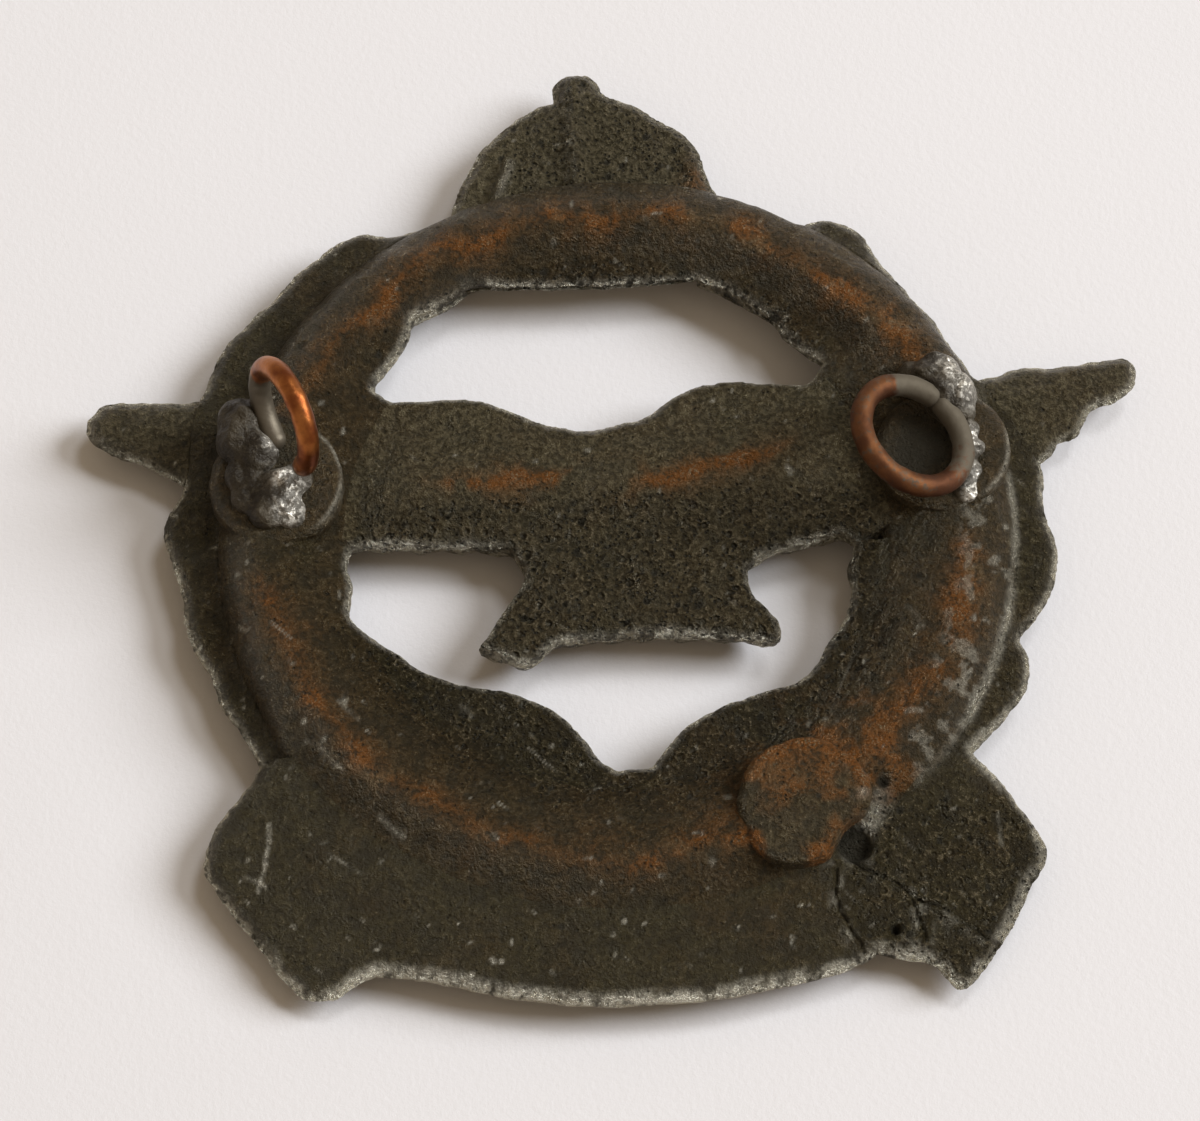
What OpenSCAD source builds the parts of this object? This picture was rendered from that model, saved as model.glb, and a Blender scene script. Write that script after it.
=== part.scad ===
// Cap badge lying face down: crown, spread bird, wreath and scroll soldered to a ribbed
// backing ring, with two wire lug loops on foot discs and a fixing pad on the back.
// +Z is up through the back, +Y runs to the crown, z = 0 is the plane the front rests on.

/* [Overall] */
// Width across the wing tips; the whole plan scales with it.
badge_w = 52.6; // [44:0.2:64]
// Thickness of the front castings where they carry the wings, crown and scroll.
plate_t = 0.8; // [0.6:0.05:1.2]
// Height of the relief on the front below those castings.
relief_h = 0.9; // [0.7:0.05:1.3]

/* [Backing ring] */
// Radius of the crest of the rounded rib.
rib_r = 17.4; // [16.8:0.1:17.8]
// Thickness of the flat part of the ring.
ring_t = 0.7; // [0.5:0.05:1.2]
// Height of the rib crest above the flat part of the ring.
rib_h = 1.2; // [0.8:0.05:1.6]

/* [Wreath] */
// Thickness of the wreath plates under the ring.
wreath_t = 0.7; // [0.5:0.05:1.2]
// Number of leaves on each half of the wreath.
leaf_n = 12; // [8:1:15]

/* [Lugs] */
// Diameter of the copper lug wire.
wire_d = 1.2; // [0.9:0.05:1.5]
// Inside diameter of the left lug loop.
eye_left_d = 4.1; // [3.4:0.1:5]
// Inside diameter of the right lug loop.
eye_right_d = 4.6; // [3.8:0.1:5.4]
// Diameter of the foot discs under the loops.
foot_d = 6.6; // [5.6:0.1:7.6]
// Thickness of the foot discs.
foot_t = 1.4; // [1.2:0.05:1.8]

/* [Fixing pad] */
// Mean diameter of the egg-shaped pad on the lower right of the ring.
pad_d = 6.4; // [5:0.1:7.2]
// Thickness of the pad.
pad_t = 1.5; // [1.3:0.05:1.9]

/* [Hidden] */
$fn = 72;
k = badge_w / 52.6;               // plan scale
e = 0.01;                         // overshoot of a cut past a face
z_plate = relief_h;               // front castings start here
z_wreath = z_plate + plate_t;     // underside of the wreath plates
z_ring = z_wreath + wreath_t;     // underside of the backing ring
z_flat = z_ring + ring_t;         // flat back face of the ring
z_foot = z_flat + foot_t;         // top of the foot discs
ring_at = [-0.2, -1.05] * k;      // centre of the ring
ring_in = 13.5 * k;
ring_out = 19.8 * k;
well_r = 20.7 * k;                // outer edge of the wreath where the scroll takes over
rib_round = 2.4;                  // radius of the rib's round top
foot_left_at = [-16.9, 2.3] * k;
foot_right_at = [16.2, 2.2] * k;
pad_at = [7.9, -16.1] * k;
silver = [0.55, 0.54, 0.50];
bronze = [0.30, 0.27, 0.20];
copper = [0.70, 0.38, 0.22];
solder_grey = [0.62, 0.62, 0.60];

// A smooth open curve through the points of p, n steps to a span.
function span(a, b, c, d, t) =
    0.5 * (2 * b + (c - a) * t + (2 * a - 5 * b + 4 * c - d) * t * t
           + (3 * b - a - 3 * c + d) * t * t * t);
function flow(p, n = 3) =
    [for (i = [0:len(p) - 2]) for (j = [0:n - 1])
        k * span(p[max(i - 1, 0)], p[i], p[i + 1], p[min(i + 2, len(p) - 1)], j / n),
     k * p[len(p) - 1]];
function turned(p) = [for (i = [len(p) - 1:-1:0]) p[i]];
function arc(r, from, to, steps) =
    [for (i = [0:steps])
        ring_at + r * [cos(from + (to - from) * i / steps), sin(from + (to - from) * i / steps)]];

// Edges of the wing bar and tail where they show inside the ring.
wing_top = [[-11.9, 7.6], [-10.9, 6.9], [-7.2, 6.9], [-5.2, 6.1], [-3.2, 5.2], [-1.7, 4.9],
            [1.5, 5.4], [2.8, 6.2], [4.2, 6.9], [6.2, 7.1], [9.7, 6.9], [10.5, 7.6]];
wing_low_left = [[-13.4, -0.7], [-9.5, -0.9], [-5.9, -1.2], [-5.0, -2.1], [-4.9, -3.1],
                 [-6.2, -5.1], [-7.3, -6.6]];
tail_low = [[-7.3, -6.6], [-5.3, -7.4], [-3.5, -6.5], [-0.8, -6.2], [2.2, -6.3], [7.4, -6.8]];
wing_low_right = [[7.4, -6.8], [7.3, -5.8], [6.3, -4.4], [6.1, -2.8], [7.8, -1.9],
                  [10.6, -1.5], [11.7, -1.9]];
// Edge of the top opening under the crown, and of the lower opening along the leaf lobes.
arch = [[-11.9, 7.6], [-11.8, 8.5], [-10.8, 9.6], [-9.7, 11.6], [-7.9, 12.5], [-6.7, 13.2],
        [-1, 13.1], [4.2, 13.1], [5.6, 12.5], [7.2, 11.5], [9.1, 9.3], [10.6, 8.0], [10.5, 7.6]];
lobes = [[11.7, -1.9], [11.1, -3.4], [11.3, -4.3], [11.0, -5.6], [9.2, -8.4], [8.4, -9.2],
         [4.2, -10.4], [2.6, -11.3], [0.8, -13.3], [-0.9, -13.4], [-1.9, -12.6], [-3.0, -11.0],
         [-4.9, -9.5], [-8.7, -8.3], [-10.3, -7.5], [-13.1, -5.3], [-13.5, -2.9], [-13.4, -0.7]];
// Outer edges of the wreath, each from the crown's foot down to the notch at the scroll.
leaf_left = [[-7.6, 17.2], [-10.5, 16.4], [-12.4, 16.6], [-14.1, 15.8], [-15.6, 14.5],
             [-17.8, 12.2], [-19.3, 10.6], [-20.2, 8.6], [-21.0, 6.5], [-21.4, 3.3],
             [-22.4, 1.3], [-22.5, 0.1], [-21.9, -1.8], [-21.5, -4.8], [-20.6, -6.8],
             [-19.3, -9.7], [-18.1, -12.0]];
leaf_right = [[6.0, 17.7], [9.5, 15.9], [10.6, 16.2], [11.9, 16.0], [13.1, 15.2], [13.8, 13.9],
              [15.1, 12.0], [16.4, 10.0], [17.3, 8.3], [18.7, 6.1], [20.7, 2.7], [21.1, -0.8],
              [21.3, -2.1], [21.3, -3.6], [20.5, -5.7], [19.2, -7.2], [19.5, -8.4],
              [19.2, -10.2], [17.6, -12.0], [16.4, -13.2]];
crown_edge = [[-7.6, 17.0], [-7.3, 18.4], [-6.6, 19.9], [-5.7, 21.2], [-4.0, 22.8],
              [-1.9, 23.6], [-1.0, 23.8], [0.5, 23.9], [2.4, 23.0], [4.2, 21.5], [5.2, 19.8],
              [6.0, 17.6]];
tip_left = [[-20.6, 8.0], [-25.0, 8.1], [-26.0, 7.5], [-26.3, 6.9], [-26.0, 6.0],
            [-24.8, 5.2], [-23.6, 4.8], [-21.6, 3.4]];
tip_right = [[17.7, 6.9], [20.5, 7.5], [24.1, 7.6], [25.8, 7.7], [26.3, 7.2], [26.1, 6.3],
             [25.1, 5.5], [23.6, 4.7], [23.1, 3.8], [21.0, 2.5]];
scroll_left = [[-18.1, -12.0], [-18.8, -13.2], [-20.1, -14.6], [-21.0, -16.2], [-20.8, -17.9],
               [-18.4, -21.4], [-17.2, -23.1], [-16.2, -23.8], [-15.1, -23.9], [-14.2, -23.3],
               [-13.1, -23.0]];
scroll_low = [[-13.1, -23.0], [-10.7, -23.4], [-6.7, -24.5], [-2.7, -25.1], [1.2, -25.2],
              [5.2, -24.8], [9.2, -24.0], [11.1, -23.2]];
scroll_right = [[11.1, -23.2], [12.1, -23.5], [13.8, -23.9], [14.6, -24.7], [15.3, -25.0],
                [16.5, -23.8], [18.0, -21.5], [19.0, -19.7], [19.6, -18.4], [19.2, -17.4],
                [17.4, -14.5], [16.4, -13.2]];
seam_left = [[-13.1, -23.0], [-11.6, -18.6]];
seam_right = [[11.1, -23.2], [10.0, -19.2]];

// Slab of a flat outline between two heights.
module slab(low, high) {
    translate([0, 0, low])
        linear_extrude(high - low)
            children();
}

module disc_2d(r) {
    translate(ring_at)
        circle(r, $fn = 144);
}

module openings_2d() {
    polygon(concat(flow(arch), turned(flow(wing_top))));
    polygon(concat(flow(wing_low_left), flow(tail_low), flow(wing_low_right), flow(lobes)));
}

// Everything the wreath plates can cover: leafy edge above, round edge behind the scroll.
module wreath_field_2d() {
    polygon(concat(turned(flow(leaf_left)), flow(leaf_right),
                   arc(well_r, -36.2, -148.5, 40)));
}

// Bird in plan from tip to tip.
module bird_2d() {
    polygon(concat(flow(tip_left), flow(wing_low_left), flow(tail_low),
                   flow(wing_low_right), turned(flow(tip_right)), turned(flow(wing_top))));
}

module crown_2d() {
    polygon(concat(flow(crown_edge), k * [[5.4, 13.1], [-1, 12.9], [-7.0, 13.2]]));
}

// Scroll in plan, cut where the folded ends meet the band.
module scroll_2d() {
    polygon(concat(flow(scroll_left), flow(scroll_low), flow(scroll_right),
                   arc(16.2 * k, -45, -135, 24)));
}
module left_of_seam_2d() {
    polygon(k * [[-30, -30], [-15.1, -30], seam_left[0], seam_left[1], [-9.7, -12],
                 [-30, -8]]);
}
module right_of_seam_2d() {
    polygon(k * [[30, -30], [13, -30], seam_right[0], seam_right[1], [8.2, -12], [30, -8]]);
}

// Pad outline: a circle drawn out toward the lower right.
module pad_2d(grow = 0) {
    translate(pad_at)
        polygon([for (a = [0:7.5:352.5])
            (pad_d / 2 * (1 + 0.07 * cos(a + 60) - 0.05 * cos(2 * a + 20)) + grow)
            * [cos(a), sin(a)]]);
}

// ---- backing ring ----
module ring_body() {
    translate([ring_at.x, ring_at.y, z_ring])
        rotate_extrude($fn = 144) {
            translate([ring_in, 0])
                square([ring_out - ring_in, ring_t]);
            intersection() {
                translate([rib_r * k, ring_t + rib_h - rib_round])
                    circle(rib_round, $fn = 48);
                translate([ring_in, 0])
                    square([ring_out - ring_in, 10]);
            }
        }
}
module back_ring() {
    color(bronze)
        difference() {
            ring_body();
            slab(z_ring - 1, z_ring + 5)
                openings_2d();
            for (at = [foot_left_at, foot_right_at])
                translate([at.x, at.y, z_flat])
                    cylinder(h = 5, d = foot_d);
            slab(z_flat, z_flat + 5)
                pad_2d();
            // blow hole at the pad's outer edge and the pin hole above it
            translate([k * 10.3, k * -18.2, z_ring - e])
                cylinder(h = 5, r = 0.75);
            translate([k * 11.9, k * -15.1, z_ring + 0.3])
                cylinder(h = 5, r = 0.3);
        }
}

// ---- wreath halves ----
module leaf(len, w) {
    r = (len * len / 4 + w * w / 4) / w;
    intersection() {
        translate([0, r - w / 2])
            circle(r, $fn = 96);
        translate([0, w / 2 - r])
            circle(r, $fn = 96);
    }
}
module wreath_half(side) {
    start = side < 0 ? 112 : 68;
    finish = side < 0 ? 206 : -32;
    difference() {
        union() {
            // plate, with the leaf lobes inside the ring standing up level with it
            slab(z_wreath, z_ring)
                difference() {
                    wreath_field_2d();
                    openings_2d();
                    crown_2d();
                    intersection() {
                        disc_2d(ring_in);
                        bird_zone_2d();
                    }
                }
            slab(z_ring, z_flat)
                difference() {
                    disc_2d(ring_in);
                    openings_2d();
                    bird_zone_2d();
                    crown_2d();
                }
            // front: a plain circlet and a row of leaves round it
            slab(z_plate + 0.3, z_wreath)
                difference() {
                    disc_2d(17.6 * k);
                    disc_2d(14.6 * k);
                    openings_2d();
                    bird_2d();
                    crown_2d();
                    scroll_2d();
                }
            slab(z_plate + 0.1, z_wreath)
                difference() {
                    intersection() {
                        wreath_field_2d();
                        for (i = [0:leaf_n - 1])
                            translate(ring_at)
                                rotate(start + (finish - start) * (i + 0.5) / leaf_n)
                                    translate([19.9 * k, 0])
                                        rotate(side * 52)
                                            leaf(4.6 * k, 1.9 * k);
                    }
                    bird_2d();
                    crown_2d();
                    scroll_2d();
                }
        }
        translate([side < 0 ? 0 : -60, -40, -1])
            cube([60, 80, 12]);
    }
}
module bird_zone_2d() {
    polygon(concat([k * [-16, 7.6]], flow(wing_top), k * [[16, 7.6], [16, -1.9]],
                   turned(flow(wing_low_right)), turned(flow(tail_low)),
                   turned(flow(wing_low_left)), [k * [-16, -0.7]]));
}
module wreath_left() {
    color(silver)
        wreath_half(-1);
}
module wreath_right() {
    color(silver)
        wreath_half(1);
}

// ---- bird ----
module rod(a, b, z, r) {
    d = b - a;
    translate([a.x, a.y, z])
        rotate([0, 90, atan2(d.y, d.x)])
            cylinder(h = norm(d), r = r, $fn = 32);
}
// Feather: a leaf-shaped slab from its root to its tip, its front face at height low.
module feather(root, tip, w, low) {
    d = tip - root;
    slab(low, z_plate + e)
        translate((root + tip) / 2)
            rotate(atan2(d.y, d.x))
                leaf(norm(d), w);
}
module bird() {
    color(bronze) {
        slab(z_plate, z_wreath)
            bird_2d();
        slab(z_wreath, z_flat)
            intersection() {
                disc_2d(ring_in);
                bird_zone_2d();
            }
        // low ridge along the back of the wings and down the tail
        intersection() {
            slab(z_wreath, z_flat + 1)
                intersection() {
                    disc_2d(ring_in);
                    bird_zone_2d();
                }
            union() {
                rod(k * [-12, 2.4], k * [-3, 2.0], z_flat - 1.5, 2.0);
                rod(k * [-3, 2.0], k * [2, 1.8], z_flat - 1.5, 2.1);
                rod(k * [2, 1.8], k * [9, 3.2], z_flat - 1.5, 2.0);
            }
        }
        // front: feathers fanned along each wing over a smooth leading edge, breast and tail
        intersection() {
            slab(0, z_plate + e)
                bird_2d();
            union() {
                for (side = [-1, 1])
                    for (i = [0:9])
                        feather(k * [side * (3.6 + 1.6 * i), 5.6 + 0.16 * i],
                                k * [side * (6.4 + 2.0 * i), -1.2 + 0.62 * i], 2.0 * k,
                                z_plate - 0.35 - 0.15 * (i % 2));
                for (i = [-3:3])
                    feather(k * [i * 0.6, -0.5], k * [i * 2.1, -7.2], 1.9 * k,
                            z_plate - 0.35 - 0.15 * abs(i % 2));
            }
        }
        intersection() {
            slab(0, z_plate + e)
                bird_2d();
            union() {
                for (side = [-1, 1])
                    rod(k * [side * 1.8, 3.9], k * [side * 24, 7.1], z_plate + 0.1, 0.85);
                translate([0, 0.6 * k, 7.5])
                    sphere(7.5, $fn = 96);
            }
        }
    }
}

// ---- crown ----
module crown() {
    color(silver) {
        difference() {
            union() {
                slab(z_plate, z_ring)
                    crown_2d();
                // ridges on the back: tall one up the middle, short slanting one at the left
                intersection() {
                    slab(z_ring - e, z_ring + 2)
                        difference() {
                            crown_2d();
                            disc_2d(ring_out + 0.1);
                        }
                    union() {
                        rod(k * [-1, 17], k * [-1, 23.6], z_ring - 0.25, 1.0);
                        rod(k * [-5.3, 18.2], k * [-4.5, 20.4], z_ring - 0.2, 0.7);
                    }
                }
            }
            slab(z_ring - 9, z_ring + 9)
                openings_2d();
        }
        // knob on top, plain band below, arches between
        translate([-1.0 * k, 25.2 * k - 1.05, z_plate])
            cylinder(h = z_ring - z_plate + 0.3, r = 1.05, $fn = 48);
        intersection() {
            slab(0, z_plate + e)
                difference() {
                    crown_2d();
                    openings_2d();
                }
            union() {
                slab(0, z_plate + e)
                    difference() {
                        disc_2d(19.6 * k);
                        disc_2d(16.4 * k);
                    }
                for (a = [-5.6, -2.8, 0, 2.8, 5.6])
                    rod(k * [-0.9 + 0.95 * a, 18.0], k * [-1 + 0.45 * a, 23.4], z_plate, 0.7);
                for (a = [-5, -2.5, 0, 2.5, 5])
                    translate([k * (-0.9 + a), k * 14.7, z_plate])
                        sphere(0.8, $fn = 32);
            }
        }
    }
}

// ---- scroll ----
module scroll_part() {
    slab(z_plate, z_wreath)
        intersection() {
            scroll_2d();
            children();
        }
    slab(z_wreath, z_ring)
        intersection() {
            difference() {
                scroll_2d();
                disc_2d(well_r);
            }
            children();
        }
}
module scroll_band() {
    color(bronze) {
        scroll_part()
            difference() {
                square(90, center = true);
                left_of_seam_2d();
                right_of_seam_2d();
            }
        // front: blank ribbon with a raised edge above and below
        slab(0.3, z_plate + e)
            ribbon_2d(17.2, 23.2);
        slab(0, z_plate + e) {
            ribbon_2d(17.2, 18.0);
            ribbon_2d(22.4, 23.2);
        }
    }
}
module ribbon_2d(inner, outer) {
    intersection() {
        difference() {
            disc_2d(outer * k);
            disc_2d(inner * k);
        }
        polygon(k * [[-0.2, -1.05], [-13.6, -30], [13.6, -30]]);
    }
}
module scroll_end(from, to) {
    slab(0.35, z_plate + e)
        intersection() {
            scroll_2d();
            difference() {
                disc_2d(24.6 * k);
                disc_2d(19.4 * k);
            }
            polygon(concat([ring_at], arc(40 * k, from, to, 6)));
        }
}
module scroll_end_left() {
    color(silver) {
        scroll_part()
            left_of_seam_2d();
        scroll_end(214, 232);
    }
}
module scroll_end_right() {
    color(silver) {
        scroll_part()
            right_of_seam_2d();
        scroll_end(308, 326);
    }
}

// ---- lugs ----
module lug_foot(at) {
    translate([at.x, at.y, z_flat])
        rotate_extrude($fn = 96)
            polygon([[0, 0], [foot_d / 2, 0], [foot_d / 2, foot_t - 0.25],
                     [foot_d / 2 - 0.25, foot_t], [0, foot_t]]);
}
module lug_foot_left() {
    color(copper)
        lug_foot(foot_left_at);
}
module lug_foot_right() {
    color(copper)
        lug_foot(foot_right_at);
}
// Open ring of wire; the gap faces down into the solder.
module wire_loop(at, lean, turn, eye, gap_at, gap) {
    r = (eye + wire_d) / 2;
    translate(at)
        rotate([0, lean, turn])
            rotate(gap_at + gap / 2)
                rotate_extrude(angle = 360 - gap, $fn = 96)
                    translate([r, 0])
                        circle(d = wire_d, $fn = 32);
}
left_r = (eye_left_d + wire_d) / 2;
right_r = (eye_right_d + wire_d) / 2;
module lug_loop_left() {
    color(copper)
        wire_loop([foot_left_at.x + 0.6, foot_left_at.y + 2.0,
                   z_foot + wire_d / 2 + 0.82 * left_r + 0.05], 78.5, 203.4, eye_left_d, 0, 66);
}
module lug_loop_right() {
    color(copper)
        wire_loop([foot_right_at.x - 1.5, foot_right_at.y - 0.2,
                   z_foot + wire_d / 2 + 0.455 * right_r], 27, 14.9, eye_right_d, 45, 14);
}
// Solder: lumps run together over the foot disc and round the wire.
lumps_left = [[-0.9, 2.6, 0.2, 1.5], [-0.3, 1.4, 0.3, 1.3], [-1.4, 3.0, 0.0, 1.0],
              [0.2, -0.6, -0.3, 1.7], [1.0, -1.7, -0.2, 1.1], [-1.0, -1.6, -0.3, 1.2],
              [1.4, 0.3, -0.4, 1.3], [-1.4, 0.2, -0.1, 1.2]];
lumps_right = [[0.5, 3.1, 0.1, 1.4], [1.2, 2.2, 0.3, 1.3], [1.8, 0.9, 0.1, 1.15],
               [1.9, -0.6, 0.0, 1.1], [1.4, -1.9, -0.1, 1.0], [-0.3, 3.0, -0.1, 0.9],
               [1.1, 3.9, -0.2, 1.0]];
module solder(at, lumps) {
    difference() {
        for (p = lumps)
            translate([at.x + p[0], at.y + p[1], z_foot + p[2]])
                sphere(p[3], $fn = 40);
        translate([-50, -50, z_foot - 20])
            cube([100, 100, 20]);
        children();
    }
}
module solder_left() {
    color(solder_grey)
        solder(foot_left_at, lumps_left)
            lug_loop_left();
}
module solder_right() {
    color(solder_grey)
        solder(foot_right_at, lumps_right)
            lug_loop_right();
}

// ---- fixing pad ----
module fixing_pad() {
    color(bronze)
        difference() {
            union() {
                slab(z_flat, z_flat + pad_t - 0.3)
                    pad_2d();
                slab(z_flat + pad_t - 0.3, z_flat + pad_t)
                    pad_2d(-0.3);
            }
            translate([k * 10.3, k * -18.2, z_ring - 1])
                cylinder(h = 9, r = 0.75);
        }
}

back_ring();
wreath_left();
wreath_right();
bird();
crown();
scroll_band();
scroll_end_left();
scroll_end_right();
lug_foot_left();
lug_foot_right();
lug_loop_left();
lug_loop_right();
solder_left();
solder_right();
fixing_pad();
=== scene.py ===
import math

import bpy
import numpy as np
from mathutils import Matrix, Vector


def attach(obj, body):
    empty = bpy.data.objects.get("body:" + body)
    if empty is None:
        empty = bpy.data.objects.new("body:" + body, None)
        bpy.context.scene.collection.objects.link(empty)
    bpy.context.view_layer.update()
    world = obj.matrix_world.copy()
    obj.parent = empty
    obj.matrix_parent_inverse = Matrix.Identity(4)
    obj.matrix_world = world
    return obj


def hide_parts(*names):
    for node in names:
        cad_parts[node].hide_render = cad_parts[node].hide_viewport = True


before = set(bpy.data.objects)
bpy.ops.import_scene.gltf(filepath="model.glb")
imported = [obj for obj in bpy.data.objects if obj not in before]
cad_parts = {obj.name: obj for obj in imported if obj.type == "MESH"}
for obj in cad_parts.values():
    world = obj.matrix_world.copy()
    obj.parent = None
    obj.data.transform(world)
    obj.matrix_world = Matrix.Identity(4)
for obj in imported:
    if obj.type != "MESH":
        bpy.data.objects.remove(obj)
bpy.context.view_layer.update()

# ---------------------------------------------------------------- backing ring
# The ring behind everything is one casting with a rounded rib. The rib's outer side drops steeply to the
# wreath, its inner side slopes gently to the openings, and the crest is rubbed down to copper.
MM = 0.001
RING_X, RING_Y = -0.2, -1.05
RING_IN, RING_OUT, RIB_R = 13.5, 19.8, 17.3
Z_FRONT, Z_PLATE, Z_RING, Z_FLAT, Z_CREST = 0.9, 1.7, 2.4, 3.05, 4.3


def smooth(low, high, v):
    """0 below low, 1 above high, and 3t^2 - 2t^3 between them."""
    t = np.clip((v - low) / (high - low), 0, 1)
    return t * t * (3 - 2 * t)


def lumps(seed, x, y, pitch):
    """Soft noise from -0.5 to 0.5: seeded heights on a grid of that pitch, blended by 3t^2 - 2t^3."""
    table = np.random.default_rng(seed).random((61, 67))
    u, v = x / pitch, y / pitch
    i, j = np.floor(u).astype(int), np.floor(v).astype(int)
    a, b = u - i, v - j
    a, b = a * a * (3 - 2 * a), b * b * (3 - 2 * b)
    near = table[i % 61, j % 67] * (1 - a) + table[(i + 1) % 61, j % 67] * a
    far = table[i % 61, (j + 1) % 67] * (1 - a) + table[(i + 1) % 61, (j + 1) % 67] * a
    return near * (1 - b) + far * b - 0.5


def pocks(seed, x, y, pitch, share):
    """Blow holes: in a share of a grid's cells, one round bowl at a random spot, 1 - d^2 / r^2 deep."""
    table = np.random.default_rng(seed).random((4, 53, 59))
    u, v = x / pitch, y / pitch
    i, j = np.floor(u).astype(int), np.floor(v).astype(int)
    deep = np.zeros(x.shape)
    for p in (-1, 0, 1):
        for q in (-1, 0, 1):
            at_x, at_y, size, chance = table[:, (i + p) % 53, (j + q) % 59]
            d = np.hypot(i + p + at_x - u, j + q + at_y - v)
            r = 0.12 + 0.30 * size
            bowl = np.clip(1 - (d / r) ** 2, 0, 1) * (0.35 + 0.65 * size)
            deep = np.maximum(deep, np.where(chance < share, bowl, 0))
    return deep


def curve(points, steps=6):
    """Smooth open curve through the points, steps to a span, by the Catmull-Rom formula."""
    p = np.array(points, float)
    p = np.vstack([p[:1], p, p[-1:]])
    t = (np.arange(steps) / steps)[:, None]
    spans = []
    for a, b, c, d in zip(p[:-3], p[1:-2], p[2:-1], p[3:]):
        spans.append(0.5 * (2 * b + (c - a) * t + (2 * a - 5 * b + 4 * c - d) * t**2
                            + (3 * b - a - 3 * c + d) * t**3))
    return np.vstack(spans + [p[-1:]])


def ragged(loop, seed, size=0.05):
    """The outline with the small bites and burrs of a rough casting: each point moved by soft noise."""
    x, y = loop.T
    return np.stack([x + size * 2 * lumps(seed, x, y, 0.5) + size * 3 * lumps(seed + 1, x, y, 1.5),
                     y + size * 2 * lumps(seed + 2, x, y, 0.5) + size * 3 * lumps(seed + 3, x, y, 1.5)],
                    axis=1)


def dense(loop, gap=0.25):
    """The closed loop with more points, none further apart than gap."""
    nxt = np.roll(loop, -1, axis=0)
    out = [a + (b - a) * np.arange(n)[:, None] / n
           for a, b, n in zip(loop, nxt, np.maximum(1, np.ceil(np.hypot(*(nxt - loop).T) / gap)).astype(int))]
    return np.vstack(out)


def reach(x, y, loop):
    """Distance of each point to a closed outline, positive inside, and the nearest outline point."""
    best = np.full(x.shape, 1e9)
    near_x, near_y = np.zeros(x.shape), np.zeros(x.shape)
    inside = np.zeros(x.shape, bool)
    for (ax, ay), (bx, by) in zip(loop, np.roll(loop, -1, axis=0)):
        sx, sy = bx - ax, by - ay
        t = np.clip(((x - ax) * sx + (y - ay) * sy) / (sx * sx + sy * sy + 1e-12), 0, 1)
        qx, qy = ax + t * sx, ay + t * sy
        d = (x - qx) ** 2 + (y - qy) ** 2
        closer = d < best
        best = np.where(closer, d, best)
        near_x, near_y = np.where(closer, qx, near_x), np.where(closer, qy, near_y)
        if ay != by:
            inside ^= ((ay > y) != (by > y)) & (x < sx * (y - ay) / (sy or 1) + ax)
    return np.sqrt(best) * np.where(inside, 1, -1), near_x, near_y


def bevelled(x, y, front, rise=1.0, width=1.3):
    """Front face rounded away from the table along open edges: front + rise * (1 - d / width)^2."""
    return front + rise * np.clip(1 - open_edge(x, y) / width, 0, 1) ** 2


def mesh_piece(name, points, faces, material, nodes, marks=None):
    """A piece in metres from points in millimetres, with its marks as point attributes, riding on root."""
    mesh = bpy.data.meshes.new(name)
    mesh.from_pydata((points * MM).tolist(), [], [f.tolist() if hasattr(f, "tolist") else f for f in faces])
    mesh.shade_smooth()
    mesh.set_sharp_from_angle(angle=math.radians(62))
    for key, values in (marks or {}).items():
        layer = mesh.attributes.new(key, "FLOAT", "POINT")
        layer.data.foreach_set("value", np.asarray(values, np.float32))
    piece = bpy.data.objects.new(name, mesh)
    bpy.context.scene.collection.objects.link(piece)
    mesh.materials.append(material)
    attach(piece, "root")
    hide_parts(*nodes)
    return piece


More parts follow.
